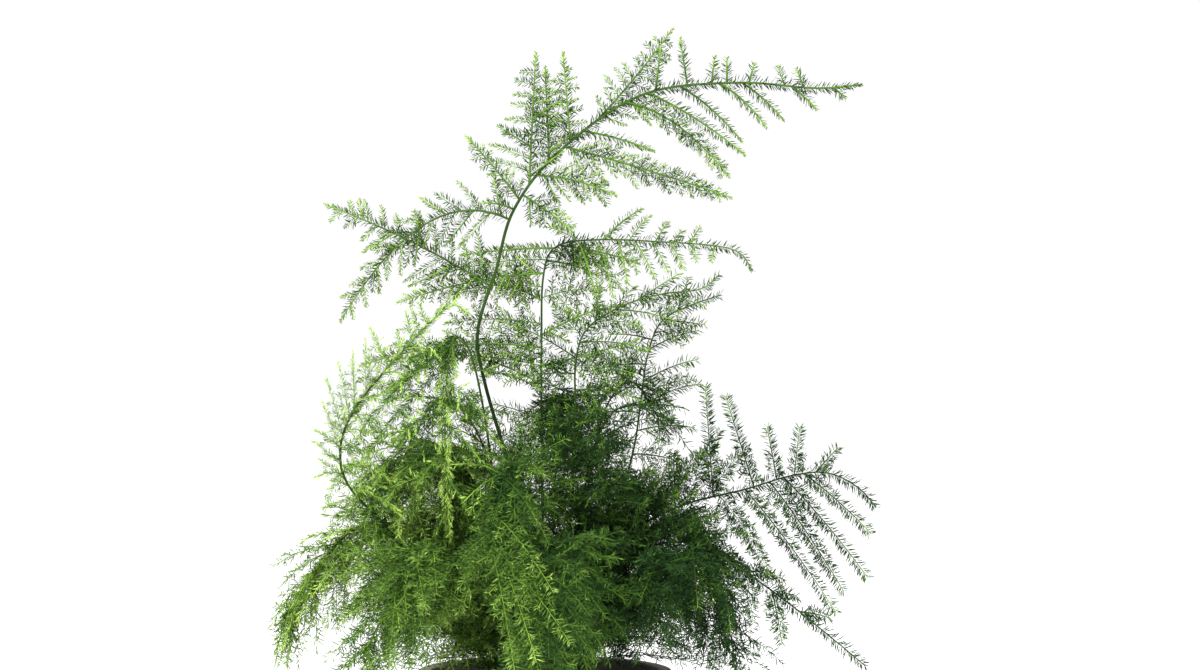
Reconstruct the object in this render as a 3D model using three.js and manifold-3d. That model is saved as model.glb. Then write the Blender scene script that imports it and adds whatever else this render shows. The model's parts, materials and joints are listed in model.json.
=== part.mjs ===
// A potted lace fern: a plain tapered pot, its soil, and wiry fronds that arch out of the soil.
// Each frond is one closed body. Its stem, sprays and side twigs are three-sided, and every
// side twig and needle is raised from one small triangle of the twig that carries it.
// Millimetres, +Z up. The origin is the middle of the pot's flat foot, and the fern is seen
// from the front along +Y, with +X to the right.
import * as THREE from "three";
import { mergeVertices } from "three/addons/utils/BufferGeometryUtils.js";
import Module from "manifold-3d";

const wasm = await Module();
wasm.setup();

const POT = {
  height: 125, foot: 46, rim: 68, wall: 5, floor: 7,
  band: 17, proud: 3, edge: 1.6, sides: 32,
};
const SOIL = { top: 113, dome: 4, gap: 0.3, sides: 24 };
const HOLE = { depth: 22, clearance: 0.35, sides: 5 };
const STEM = { foot: 1.25, tip: 0.5, bareStep: 26 };
const SPRAY = { root: 0.75, tip: 0.42 };
const BARB = { root: 0.6, tip: 0.4, angle: 52, droop: 0.12, shortest: 13 };
const TUFT = { step: 17.5, first: 5, last: 4, apart: 3.4, width: 1.1 };
const NEEDLE = { length: 5.4, slant: 52, spread: 0.2 };
const CLEAR = { twig: 0.7, needle: 0.35, cell: 8 };
const SEED = 7;

const UP = new THREE.Vector3(0, 0, 1);
const degrees = THREE.MathUtils.degToRad;
const vector = ([x, y, z]) => new THREE.Vector3(x, y, z);

// A repeatable draw from 0 to 1 for a set of whole numbers.
function draw(a, b = 0, c = 0) {
  const v = Math.sin(SEED + a * 12.9898 + b * 78.233 + c * 37.719) * 43758.5453;
  return v - Math.floor(v);
}

// The fronds that show one by one. A route runs from the soil to the frond's tip. A spray is
// the place where it leaves the route, counted in route points, the x, y and z of its tip,
// how far it bows up as a share of its length, and how long its own side twigs grow.
const CHOSEN = {
  frond_tall: {
    foot: [-3, -3],
    face: [0, -1, 0.25],
    route: [[-10, -4, 200], [-33, -9, 285], [-37, -10, 315], [-27, -10, 348], [-17, -8, 382],
      [8, -6, 414], [53, -4, 445], [105, -2, 452], [150, 0, 449], [176, 2, 451]],
    sprays: [[3.75, -121, -22, 385, 0.06, 32], [4.8, -112, -36, 321, 0.46, 28],
      [5.15, -44, -14, 423, 0.05, 9], [5.04, -34, -22, 386, 0.1, 0],
      [5.4, -5, 4, 469, 0, 30], [5.85, 0, 14, 461, 0, 24],
      [6.2, 10, 2, 469, 0, 10], [6.5, 71, 12, 482, -0.05, 15], [7.2, 64, -14, 471, 0, 0],
      [7.52, 75, 6, 477, 0, 0], [7.72, 94, -6, 467, 0, 0], [7.95, 101, 5, 466, 0, 0],
      [8.2, 116, -3, 463, 0, 0], [8.55, 129, 4, 461, 0, 0], [8.8, 139, -3, 460, 0, 0],
      [6.08, 103, -32, 389, 0.02, 15], [6.83, 102, -18, 400, 0.22, 12], [7.1, 111, -13, 412, 0.08, 0],
      [7.38, 110, 10, 419, 0.12, 0], [7.85, 123, -9, 427, 0.15, 0], [8.1, 133, 5, 431, 0.1, 0],
      [8.7, 151, -2, 437, 0.05, 0], [9.3, 167, 3, 443, 0.05, 0], [5.55, 40, -28, 390, 0.1, 17],
      [6.32, 61, 4, 414, 0.06, 0], [5.27, 16, -26, 370, 0.05, 14]],
  },
  frond_level: {
    foot: [3, 5],
    face: [0, -1, 0.5],
    route: [[-1, 6, 191], [-2, 8, 263], [-2, 8, 308], [-1, 6, 344], [6, 4, 361],
      [30, 0, 365], [64, -6, 364], [94, -10, 362], [108, -12, 358], [115, -13, 348]],
    sprays: [[4.9, -47, 0, 356, 0.05, 0], [4.1, -82, -8, 330, 0.08, 15], [4.4, 30, 22, 344, 0.1, 12],
      [3.1, 44, 30, 328, 0.1, 15], [2.7, 53, 14, 309, -0.03, 15], [2.92, -103, -6, 295, 0.12, 20],
      [6.1, 54, 10, 382, 0.1, 0], [6.9, 68, 2, 375, 0, 0], [7.5, 86, -4, 372, 0, 0],
      [5.6, 31, -20, 325, 0.15, 0], [6.35, 46, -14, 341, 0.08, 0], [6.6, 61, -16, 344, 0.1, 0],
      [7.2, 77, -18, 349, 0.1, 0], [8, 92, -18, 353, 0.1, 0], [5.1, 53, 24, 351, 0.05, 12],
      [2.4, -52, 34, 300, 0.1, 16], [3.6, -30, 40, 338, 0.1, 14]],
  },
  frond_young: {
    foot: [-10, -6],
    face: [0.3, -1, 0.6],
    route: [[-42, -18, 163], [-81, -28, 202], [-107, -34, 230], [-112, -36, 250], [-106, -36, 270],
      [-91, -36, 290], [-74, -36, 309], [-58, -36, 325], [-49, -37, 331], [-41, -38, 325]],
    sprays: [[5.2, -105, -40, 306, 0, 0], [6.3, -96, -34, 318, 0, 0], [7.1, -76, -34, 327, 0, 0],
      [7.6, -69, -40, 332, 0, 0], [4.6, -86, -44, 256, 0.2, 10], [5.5, -72, -48, 268, 0.2, 12],
      [6.2, -66, -46, 288, 0.2, 10], [6.85, -54, -44, 303, 0.2, 0], [4.1, -126, -42, 262, 0.1, 0],
      [3.3, -126, -46, 236, 0.2, 0], [2.8, -78, -52, 218, 0.2, 12], [3.6, -88, -52, 238, 0.2, 10]],
  },
  frond_hanging: {
    foot: [-5, -12],
    face: [0, -1, 0.2],
    route: [[-22, -18, 191], [-33, -26, 269], [-41, -32, 305], [-49, -40, 313], [-52, -48, 299],
      [-54, -54, 269], [-53, -58, 235], [-51, -60, 202]],
    sprays: [[5, -86, -62, 283, 0.2, 12], [5.4, -30, -62, 268, 0.2, 12], [5.9, -84, -70, 255, 0.2, 10],
      [6.1, -34, -68, 247, 0.15, 0], [6.5, -70, -72, 232, 0.1, 0], [6.9, -40, -70, 218, 0.1, 0],
      [7.4, -59, -66, 206, 0.05, 0], [3.2, -60, -14, 300, 0.2, 12], [2.6, -2, -34, 284, 0.15, 12]],
  },
  frond_right: {
    foot: [10, 2],
    face: [0, -1, 0.8],
    route: [[19, 4, 169], [44, 2, 199], [75, -4, 217], [111, -12, 227], [136, -18, 235],
      [156, -22, 237], [173, -24, 229], [183, -25, 218]],
    sprays: [[4, 160, -44, 162, 0.06, 0], [4.5, 165, -30, 172, 0.06, 9], [4.85, 178, -34, 180, 0.06, 0],
      [5.3, 180, -30, 204, 0.06, 0], [4.15, 100, -16, 279, 0, 0], [3.5, 89, -6, 284, 0, 0],
      [4.65, 123, -14, 262, 0, 0], [5.1, 141, -16, 262, 0, 0], [5.7, 162, -20, 251, 0, 0],
      [3.2, 108, -40, 176, 0.1, 12], [2.6, 40, -34, 236, 0.1, 14], [2.9, 72, 30, 244, 0.1, 14],
      [2.3, 64, -38, 176, 0.1, 12]],
  },
  frond_low_right: {
    foot: [13, -7],
    face: [0.3, -1, 1],
    route: [[26, -14, 168], [53, -22, 194], [81, -30, 199], [100, -36, 190], [130, -42, 170],
      [159, -46, 147], [176, -48, 133]],
    sprays: [[2.6, 52, -56, 168, 0.15, 12], [3, 84, -58, 166, 0.15, 10], [3.3, 104, -10, 188, 0.1, 12],
      [3.8, 102, -58, 152, 0.15, 0], [4.3, 132, -22, 178, 0.1, 0], [4.8, 130, -58, 146, 0.1, 0],
      [5.3, 157, -34, 158, 0.05, 0], [2.2, 70, -2, 206, 0.1, 12]],
  },
  frond_mid_right: {
    foot: [8, 10],
    face: [0, -1, 0.5],
    route: [[31, 14, 180], [48, 16, 241], [53, 18, 270], [57, 18, 299], [65, 14, 319],
      [81, 10, 328], [98, 6, 334]],
    sprays: [[4.2, 86, 30, 313, 0.1, 12], [3.5, 85, 8, 298, 0.1, 12], [3, 88, 28, 283, 0.15, 14],
      [4.4, 31, 6, 312, 0.1, 12], [3.8, 24, 26, 290, 0.1, 14], [2.9, 20, 8, 266, 0.1, 14],
      [2.5, 84, 34, 258, 0.1, 16], [2.1, 78, 2, 240, 0.1, 14], [5.1, 89, -4, 318, 0, 0],
      [5.6, 80, 24, 343, 0, 0]],
  },
  frond_reach: {
    foot: [4, -10],
    face: [0, -1, 0.7],
    route: [[13, -14, 191], [17, -18, 263], [17, -20, 296], [23, -22, 316], [42, -26, 329],
      [64, -30, 336], [86, -33, 339], [96, -34, 347]],
    sprays: [[3.2, -26, -30, 322, 0.1, 14], [3.6, 58, -44, 306, 0.1, 12], [4.3, 34, -8, 340, 0.05, 0],
      [4.8, 72, -42, 322, 0.08, 0], [5.4, 74, -20, 347, 0, 0], [6, 88, -42, 330, 0.05, 0],
      [2.5, 54, -40, 278, 0.1, 14], [2.8, -20, -38, 288, 0.1, 14], [2.1, -14, -42, 262, 0.1, 12]],
  },
};

// The fronds that make the mound, in tiers that go round the crown. The angles are in degrees
// from +X, and every length is in millimetres. The mound leans a little to -X.
const TIERS = {
  frond_arch: {
    count: 6, from: 20, ring: 17, reach: 78, rise: 150, tip: 0.86,
    sprays: 9, spray: 58, barbs: 16,
  },
  frond_skirt: {
    count: 7, from: 22, ring: 25, reach: 112, rise: 82, tip: 0.42,
    sprays: 9, spray: 60, barbs: 16,
  },
};
const MOUND_LEAN = 0.2;
const ARCH_ROUTE = [[0.1, 0.5], [0.32, 0.88], [0.66, 1]];
const TURNS = [0, 6, -6, 12, -12, 18, -18, 24, -24];

// A line through dense points, measured along its length.
class Line {
  constructor(points) {
    this.points = points;
    this.reach = [0];
    for (let i = 1; i < points.length; i++)
      this.reach.push(this.reach[i - 1] + points[i].distanceTo(points[i - 1]));
    this.length = this.reach.at(-1);
  }
  at(s) {
    let i = 1;
    while (i < this.points.length - 1 && this.reach[i] < s) i++;
    const share = (s - this.reach[i - 1]) / (this.reach[i] - this.reach[i - 1]);
    return this.points[i - 1].clone().lerp(this.points[i], share);
  }
  heading(s) {
    const span = 1.5;
    return this.at(Math.min(s + span, this.length)).sub(this.at(Math.max(s - span, 0))).normalize();
  }
}

const across = (v, heading) => v.clone().addScaledVector(heading, -v.dot(heading)).normalize();

// Everything that already stands, as capsules in a grid, so that what grows later stays clear.
class Room {
  constructor() {
    this.cells = new Map();
  }
  *near(c) {
    const low = c.a.clone().min(c.b).subScalar(2).divideScalar(CLEAR.cell).floor();
    const high = c.a.clone().max(c.b).addScalar(2).divideScalar(CLEAR.cell).floor();
    for (let x = low.x; x <= high.x; x++)
      for (let y = low.y; y <= high.y; y++)
        for (let z = low.z; z <= high.z; z++) yield `${x},${y},${z}`;
  }
  add(c) {
    for (const key of this.near(c)) {
      if (!this.cells.has(key)) this.cells.set(key, []);
      this.cells.get(key).push(c);
    }
  }
  isClear(c, gap, skip) {
    for (const key of this.near(c))
      for (const other of this.cells.get(key) ?? [])
        if (!skip(other) && spacing(c, other) < gap) return false;
    return true;
  }
}

// The gap between the skins of two tapered capsules, at the closest points of their middles.
function spacing(p, q) {
  const d1 = p.b.clone().sub(p.a);
  const d2 = q.b.clone().sub(q.a);
  const r = p.a.clone().sub(q.a);
  const a = d1.lengthSq();
  const e = d2.lengthSq();
  const f = d2.dot(r);
  const c = d1.dot(r);
  const b = d1.dot(d2);
  const denominator = a * e - b * b;
  const clamp = (v) => Math.min(1, Math.max(0, v));
  let s = denominator > 1e-9 ? clamp((b * f - c * e) / denominator) : 0;
  let t = (b * s + f) / e;
  if (t < 0 || t > 1) {
    t = clamp(t);
    s = clamp((b * t - c) / a);
  }
  const from = p.a.clone().addScaledVector(d1, s);
  const to = q.a.clone().addScaledVector(d2, t);
  return from.distanceTo(to) - (p.ra + (p.rb - p.ra) * s) - (q.ra + (q.rb - q.ra) * t);
}

// The pot's outer radius at a height, with its rim band.
function potRadius(z) {
  const wall = POT.foot + ((POT.rim - POT.foot) * z) / POT.height;
  return z > POT.height - POT.band ? POT.rim + POT.proud : wall;
}

// True where a twig or needle would run into the pot or the soil.
function hitsPot(p) {
  const margin = 1.6;
  const r = Math.hypot(p.x, p.y);
  if (p.z > POT.height + margin) return false;
  if (r > potRadius(p.z) + margin) return false;
  return !(r < POT.rim - POT.wall - margin && p.z > SOIL.top + SOIL.dome + margin);
}

const room = new Room();
const twigs = [];

// Puts a twig's middle line into the room, in stretches between its stations.
function settle(twig) {
  twig.id = twigs.length;
  twigs.push(twig);
  for (const c of capsules(twig)) room.add(c);
}

function capsules(twig) {
  const pieces = Math.max(2, Math.ceil(twig.line.length / 9));
  return Array.from({ length: pieces }, (_, i) => {
    const from = (twig.line.length * i) / pieces;
    const to = (twig.line.length * (i + 1)) / pieces;
    const middle = { a: twig.line.at(from), b: twig.line.at(to) };
    return { ...middle, ra: girth(twig, from), rb: girth(twig, to), twig, from, to };
  });
}

const girth = (twig, s) => twig.root + ((twig.tip - twig.root) * s) / twig.line.length;

// The face direction at a place on a twig, carried along it without twist.
function facing(twig, s) {
  const steps = Math.max(2, Math.ceil(twig.line.length / 6));
  if (!twig.faces) {
    const order = [...Array(steps + 1).keys()];
    if (twig.fromTip) order.reverse();
    let face = twig.face;
    twig.faces = [];
    for (const i of order) {
      face = across(face, twig.line.heading((twig.line.length * i) / steps));
      twig.faces[i] = face;
    }
  }
  const place = (s / twig.line.length) * steps;
  const i = Math.min(steps - 1, Math.floor(place));
  return across(twig.faces[i].clone().lerp(twig.faces[i + 1], place - i), twig.line.heading(s));
}

const sideways = (twig, s) => facing(twig, s).cross(twig.line.heading(s));

// The stem stands straight in its hole and then follows the frond's route.
function makeStem(name, plan, index) {
  const { foot, face, route } = plan;
  const ground = new THREE.Vector3(foot[0], foot[1], SOIL.top + SOIL.dome + 1);
  const curve = new THREE.CatmullRomCurve3([ground, ...route.map(vector)], false, "catmullrom", 0.5);
  const samples = curve.getPoints(12 * route.length);
  const bottom = ground.clone().setZ(SOIL.top - HOLE.depth + 1);
  const twig = { name, index, plan, line: new Line([bottom, ...samples]) };
  Object.assign(twig, { face: vector(face).normalize(), fromTip: true });
  Object.assign(twig, { root: STEM.foot, tip: STEM.tip, level: 0, grown: [] });
  twig.place = (at) => twig.line.reach[1 + Math.round(at * 12)];
  return twig;
}

// A spray or side twig as one bowed line from its parent to its tip.
function makeTwig(parent, from, tip, bow, size, level) {
  const root = parent.line.at(from);
  const reach = root.distanceTo(tip);
  const middle = root.clone().lerp(tip, 0.5).addScaledVector(UP, bow * reach);
  const samples = new THREE.QuadraticBezierCurve3(root, middle, tip).getPoints(16);
  const side = Math.sign(tip.clone().sub(root).dot(sideways(parent, from))) || 1;
  const twig = { line: new Line(samples), face: facing(parent, from), parent, from, side };
  return Object.assign(twig, { root: size.root, tip: size.tip, level, grown: [] });
}

// True if the twig clears everything but the stretch of its parent that it leaves.
function twigIsClear(twig) {
  const atRoot = (o) => o.twig === twig.parent && Math.abs(o.from + o.to - 2 * twig.from) < 24;
  return capsules(twig).every(
    (c) => (twig.level === 0 || !hitsPot(c.b)) && room.isClear(c, CLEAR.twig, atRoot),
  );
}

// Where something stands, a twig's tip moves out of its parent's flat side, or up, by these
// shares of the twig's length.
const ASIDE = [[0, 0], [0.1, 0], [-0.1, 0], [0.22, 0], [-0.22, 0], [0, 0.16], [0, -0.16],
  [0.36, 0], [-0.36, 0], [0.3, 0.2], [-0.3, -0.2], [0.3, -0.2], [-0.3, 0.2], [0.5, 0], [-0.5, 0]];

function grow(parent, from, tip, bow, size, level) {
  const length = parent.line.at(from).distanceTo(tip);
  const face = facing(parent, from);
  for (const [out, lift] of ASIDE) {
    const aside = tip.clone().addScaledVector(face, out * length).addScaledVector(UP, lift * length);
    const twig = makeTwig(parent, from, aside, bow, size, level);
    if (twigIsClear(twig)) {
      parent.grown.push(twig);
      settle(twig);
      return twig;
    }
  }
  return null;
}

// A tier's frond has the same parts as a chosen one, worked out from its place in the ring.
function tierFrond(tier, i, aside) {
  const turn = degrees(tier.from + aside + (360 * i) / tier.count + 16 * (draw(tier.ring, i) - 0.5));
  const out = new THREE.Vector3(Math.cos(turn), Math.sin(turn), 0);
  const reach = tier.reach * (1 - MOUND_LEAN * out.x) * (0.86 + 0.28 * draw(tier.ring, i, 1));
  const rise = tier.rise * (0.84 + 0.32 * draw(tier.ring, i, 2));
  const place = ([r, z]) => {
    const away = tier.ring + reach * r;
    return [out.x * away, out.y * away, SOIL.top + rise * z];
  };
  return {
    foot: [out.x * tier.ring, out.y * tier.ring],
    face: out.clone().multiplyScalar(0.3).add(UP).toArray(),
    route: [...ARCH_ROUTE, [1, tier.tip * (0.8 + 0.3 * draw(tier.ring, i, 3))]].map(place),
    tier,
  };
}

// The places, tips and bows of a tier frond's sprays, worked out along its stem.
function tierSprays(stem, tier) {
  return Array.from({ length: tier.sprays }, (_, j) => {
    const share = j / (tier.sprays - 1);
    const at = 0.8 + 3 * share;
    const from = stem.place(at);
    const side = j % 2 ? 1 : -1;
    const angle = degrees(66 - 26 * share);
    const length = tier.spray * (1 - 0.68 * share) * (0.85 + 0.3 * draw(stem.index, j, 1));
    const tip = stem.line.at(from).addScaledVector(stem.line.heading(from), Math.cos(angle) * length);
    tip.addScaledVector(sideways(stem, from), side * Math.sin(angle) * length);
    tip.addScaledVector(UP, -0.2 * length);
    return [at, ...tip.toArray(), 0.14, tier.barbs * (1 - 0.5 * share)];
  });
}

// Each plan is a frond's name with its choices of shape, of which the first with room is grown.
const plans = [
  ...Object.entries(CHOSEN).map(([name, frond]) => [name, [frond]]),
  ...Object.entries(TIERS).flatMap(([name, tier]) =>
    Array.from({ length: tier.count }, (_, i) => [
      `${name}_${i + 1}`,
      TURNS.map((aside) => tierFrond(tier, i, aside)),
    ]),
  ),
];

// Stems first, then all sprays, then the side twigs: the larger parts have the first choice.
const stems = plans.map(([name, choices], index) => {
  const options = choices.map((plan) => makeStem(name, plan, index));
  const stem = options.find(twigIsClear) ?? options[0];
  settle(stem);
  return stem;
});
const sprays = stems.flatMap((stem) =>
  (stem.plan.sprays ?? tierSprays(stem, stem.plan.tier)).map(([at, x, y, z, bow, barbs]) => {
    const spray = grow(stem, stem.place(at), new THREE.Vector3(x, y, z), bow, SPRAY, 1);
    return spray && Object.assign(spray, { barbs });
  }),
);
for (const spray of sprays.filter((s) => s?.barbs)) growBarbs(spray);

// Side twigs leave a spray at its tufts, on alternate sides, and shorten towards its tip.
function growBarbs(spray) {
  tuftPlaces(spray).forEach((from, j) => {
    const share = from / spray.line.length;
    const length = spray.barbs * (1 - 0.75 * share) * (0.85 + 0.3 * draw(spray.id, j));
    if (length < BARB.shortest) return;
    const angle = degrees(BARB.angle + 10 * (draw(spray.id, j, 1) - 0.5));
    const side = j % 2 ? 1 : -1;
    const tip = spray.line.at(from).addScaledVector(spray.line.heading(from), Math.cos(angle) * length);
    tip.addScaledVector(sideways(spray, from), side * Math.sin(angle) * length);
    tip.addScaledVector(UP, -BARB.droop * length);
    grow(spray, from, tip, 0.05, BARB, 2);
  });
}

// Tufts stand at an even step from a twig's root to just short of its tip.
function tuftPlaces(twig) {
  const room = twig.line.length - TUFT.first - TUFT.last;
  const count = Math.max(0, Math.round(room / TUFT.step));
  return Array.from({ length: count + 1 }, (_, i) => TUFT.first + (room * i) / Math.max(1, count));
}

// A twig's tufts, each with its place and the side twigs that leave from it.
function tufts(twig) {
  const places = twig.level ? tuftPlaces(twig).map((s) => ({ s, left: null, right: null })) : [];
  for (const child of twig.grown.toSorted((a, b) => a.from - b.from)) {
    const slot = child.side < 0 ? "left" : "right";
    let tuft = places.find((p) => Math.abs(p.s - child.from) < TUFT.apart && !p[slot]);
    if (!tuft) {
      tuft = { s: child.from, left: null, right: null };
      places.push(tuft);
    }
    tuft[slot] = child;
  }
  if (!twig.level) fillStem(twig, places);
  places.sort((a, b) => a.s - b.s);
  for (let i = 1; i < places.length; i++)
    places[i].s = Math.max(places[i].s, places[i - 1].s + TUFT.apart);
  return places;
}

// A stem has tufts of its own between its sprays, from its first spray to its tip.
function fillStem(stem, places) {
  places.sort((a, b) => a.s - b.s);
  const stops = [...places.map((p) => p.s), stem.line.length - 1];
  stops.slice(1).forEach((next, i) => {
    const gap = next - stops[i];
    const extra = Math.floor(gap / (1.5 * TUFT.step));
    for (let k = 1; k <= extra; k++)
      places.push({ s: stops[i] + (gap * k) / (extra + 1), left: null, right: null });
  });
}

// A surface under construction: its points, and its triangles as point numbers.
class Skin {
  constructor() {
    this.points = [];
    this.faces = [];
  }
  point(p) {
    return this.points.push(p) - 1;
  }
  // Walls between two rings of three points that both run the same way round.
  wall(a, b) {
    for (let i = 0; i < 3; i++) {
      const j = (i + 1) % 3;
      this.faces.push([a[i], b[j], b[i]], [a[i], a[j], b[j]]);
    }
  }
  spike([p, q, r], apex) {
    const x = this.point(apex);
    this.faces.push([p, q, x], [q, r, x], [r, p, x]);
  }
  middle(face) {
    return face.reduce((sum, i) => sum.add(this.points[i]), new THREE.Vector3()).divideScalar(3);
  }
}

// The three corners round a twig's middle: upper right, upper left and underneath.
function corner(twig, s, angle) {
  const face = facing(twig, s);
  const side = sideways(twig, s);
  const turn = degrees(angle);
  const r = girth(twig, s);
  const point = twig.line.at(s).addScaledVector(side, r * Math.cos(turn));
  return point.addScaledVector(face, r * Math.sin(turn));
}
const CORNERS = [30, 150, 270];

// Turns a ring so that its corners lie nearest to those of the triangle it grows from.
function matched(skin, base, ring) {
  const centre = skin.middle(ring).sub(skin.middle(base));
  const cost = (shift) =>
    base.reduce((sum, p, i) => {
      const q = skin.points[ring[(i + shift) % 3]].clone().sub(centre);
      return sum + q.distanceToSquared(skin.points[p]);
    }, 0);
  const shift = [0, 1, 2].reduce((best, k) => (cost(k) < cost(best) ? k : best));
  return [0, 1, 2].map((i) => ring[(i + shift) % 3]);
}

// Adds a twig to the skin, from the triangle that it grows out of to its pointed tip.
function addTwig(skin, twig, base) {
  let last = base;
  let fresh = true;
  const join = (ring) => {
    const turned = fresh ? matched(skin, last, ring) : ring;
    skin.wall(last, turned);
    fresh = false;
  };
  const places = twig.tufts;
  if (!twig.level)
    for (const s of bareStations(places[0].s)) {
      const ring = CORNERS.map((angle) => skin.point(corner(twig, s, angle)));
      if (s) join(ring);
      else skin.faces.push([ring[2], ring[1], ring[0]]);
      last = ring;
      fresh = false;
    }
  for (const tuft of places) {
    const half = (TUFT.width + 0.5 * girth(twig, tuft.s)) / 2;
    const [a0, a1] = [30, 150].map((angle) => skin.point(corner(twig, tuft.s - half, angle)));
    const [b0, b1] = [30, 150].map((angle) => skin.point(corner(twig, tuft.s + half, angle)));
    const under = skin.point(corner(twig, tuft.s, 270));
    join([a0, a1, under]);
    const slots = {
      left: [a1, under, b1],
      right: [under, a0, b0],
      upLeft: [a0, a1, b1],
      upRight: [a0, b1, b0],
    };
    for (const [slot, face] of Object.entries(slots)) {
      if (tuft[slot]) addTwig(skin, tuft[slot], face);
      else addNeedle(skin, twig, tuft, slot, face);
    }
    last = [b0, b1, under];
  }
  skin.spike(last, twig.line.at(twig.line.length));
}

// The bare lower stem has stations in its hole, at the soil and then at an even step.
function bareStations(until) {
  const first = HOLE.depth + SOIL.dome;
  const room = until - TUFT.apart - first;
  const count = Math.max(1, Math.round(room / STEM.bareStep));
  return [0, ...Array.from({ length: count }, (_, i) => first + (room * i) / count)];
}

// How far each slot's needle leans to the side, and how far out of the twig's flat face.
const LEAN = {
  left: [-0.9, -0.44],
  right: [0.9, -0.44],
  upLeft: [-0.62, 0.78],
  upRight: [0.62, 0.78],
};

// A needle is one spike on one small triangle, left out where it would touch something.
function addNeedle(skin, twig, tuft, slot, face) {
  const heading = twig.line.heading(tuft.s);
  const [across, out] = LEAN[slot];
  const key = Math.round(tuft.s * 7) + slot.length * 31 + slot.charCodeAt(0);
  const slant = degrees(NEEDLE.slant + 16 * (draw(twig.id, key) - 0.5));
  const direction = sideways(twig, tuft.s).multiplyScalar(across);
  direction.addScaledVector(facing(twig, tuft.s), out).setLength(Math.sin(slant));
  direction.addScaledVector(heading, Math.cos(slant));
  const fade = 1 - 0.35 * (tuft.s / twig.line.length) ** 2;
  const length = NEEDLE.length * fade * (1 - NEEDLE.spread * draw(twig.id, key, 1));
  const a = skin.middle(face);
  const b = a.clone().addScaledVector(direction, length + girth(twig, tuft.s) * 0.5);
  const needle = { a, b, ra: 0.5, rb: 0.05, tuft };
  const beside = (o) => o.twig === twig && Math.abs(o.from + o.to - 2 * tuft.s) < 14;
  const skip = (o) => o.tuft === tuft || beside(o) || leavesFrom(o, tuft);
  const inPot = hitsPot(b) || hitsPot(a.clone().lerp(b, 0.5));
  if (!inPot && room.isClear(needle, CLEAR.needle, skip)) {
    room.add(needle);
    skin.spike(face, b);
  } else skin.faces.push(face);
}

const leavesFrom = (o, tuft) =>
  o.twig && (o.twig === tuft.left || o.twig === tuft.right) && o.from < 1;

function geometryOf(points, corners) {
  const geometry = new THREE.BufferGeometry().setFromPoints(points);
  geometry.setIndex(corners);
  geometry.computeVertexNormals();
  return geometry;
}

const LOOKS = {
  pot: { color: 0xb9b4aa, roughness: 0.75 },
  soil: { color: 0x2f241b, roughness: 0.95 },
  young: { color: 0x8fb64a, roughness: 0.6 },
  grown: { color: 0x3f7a35, roughness: 0.6 },
};
const YOUNG = ["frond_young", "frond_hanging"];

// A profile of radius and height, turned round the upright axis.
function turned(profile, sides) {
  const points = profile.map(([r, z]) => new THREE.Vector2(r, z));
  return new THREE.LatheGeometry(points, sides).rotateX(Math.PI / 2);
}

function makePot() {
  const { height, foot, rim, wall, floor, band, proud, edge, sides } = POT;
  const slope = (rim - foot) / height;
  const under = height - band;
  const profile = [[0, 0], [foot - edge, 0], [foot, edge], [foot + slope * under, under],
    [rim + proud - edge, under], [rim + proud, under + edge], [rim + proud, height - edge],
    [rim + proud - edge, height], [rim - wall + edge, height], [rim - wall, height - edge],
    [foot - wall + slope * floor, floor], [0, floor]];
  return turned(profile, sides);
}

// The soil fills the pot with a small gap all round, rises a little to the crown, and has a
// plain hole for each stem.
function makeSoil() {
  const { foot, rim, wall, floor, height, sides } = POT;
  const slope = (rim - foot) / height;
  const inner = (z) => (foot - wall + slope * z) * Math.cos(Math.PI / sides) - 2 * SOIL.gap;
  const bottom = floor + SOIL.gap;
  const top = SOIL.top;
  const profile = [[0, bottom], [inner(bottom), bottom], [inner(top - 2), top - 2],
    [inner(top) - 3, top], [34, top + 0.7 * SOIL.dome], [0, top + SOIL.dome]];
  let solid = solidOf(turned(profile, SOIL.sides));
  for (const stem of stems) {
    const radius = (STEM.foot + HOLE.clearance) / Math.cos(Math.PI / HOLE.sides);
    const hole = new THREE.CylinderGeometry(radius, radius, 2 * HOLE.depth, HOLE.sides);
    const place = stem.line.at(0);
    hole.rotateX(Math.PI / 2).translate(place.x, place.y, top);
    solid = solid.subtract(solidOf(hole));
  }
  return meshOf(solid);
}

function solidOf(geometry) {
  geometry.deleteAttribute("normal");
  geometry.deleteAttribute("uv");
  const merged = mergeVertices(geometry, 1e-3);
  const vertProperties = new Float32Array(merged.attributes.position.array);
  const triVerts = new Uint32Array(merged.index.array);
  return new wasm.Manifold(new wasm.Mesh({ numProp: 3, vertProperties, triVerts }));
}

function meshOf(solid) {
  const { numProp, vertProperties, triVerts } = solid.getMesh();
  const points = [];
  for (let i = 0; i < vertProperties.length; i += numProp)
    points.push(vector(vertProperties.subarray(i, i + 3)));
  return geometryOf(points, Array.from(triVerts));
}

for (const twig of twigs) twig.tufts = tufts(twig);

const fern = new THREE.Group();
const add = (name, geometry, look) => {
  const mesh = new THREE.Mesh(geometry, new THREE.MeshStandardMaterial({ ...look, metalness: 0 }));
  mesh.name = name;
  fern.add(mesh);
};
add("pot", makePot(), LOOKS.pot);
add("soil", makeSoil(), LOOKS.soil);
for (const stem of stems) {
  const skin = new Skin();
  addTwig(skin, stem, null);
  const look = YOUNG.includes(stem.name) ? LOOKS.young : LOOKS.grown;
  add(stem.name, geometryOf(skin.points, skin.faces.flat()), look);
}

export default fern;
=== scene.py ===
# %% [markdown]
# # A potted lace fern
#
# The plant is a bush of wiry stems. Each stem carries flat sprays, each spray carries short side
# twigs, and all of them bristle with soft green needles a few millimetres long. It stands in
# potting soil in a plain tapered pot. The script loads the solid model as a fixed frame, and then
# builds a finer piece in the place of each of its solids.

import json
import math

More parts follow.
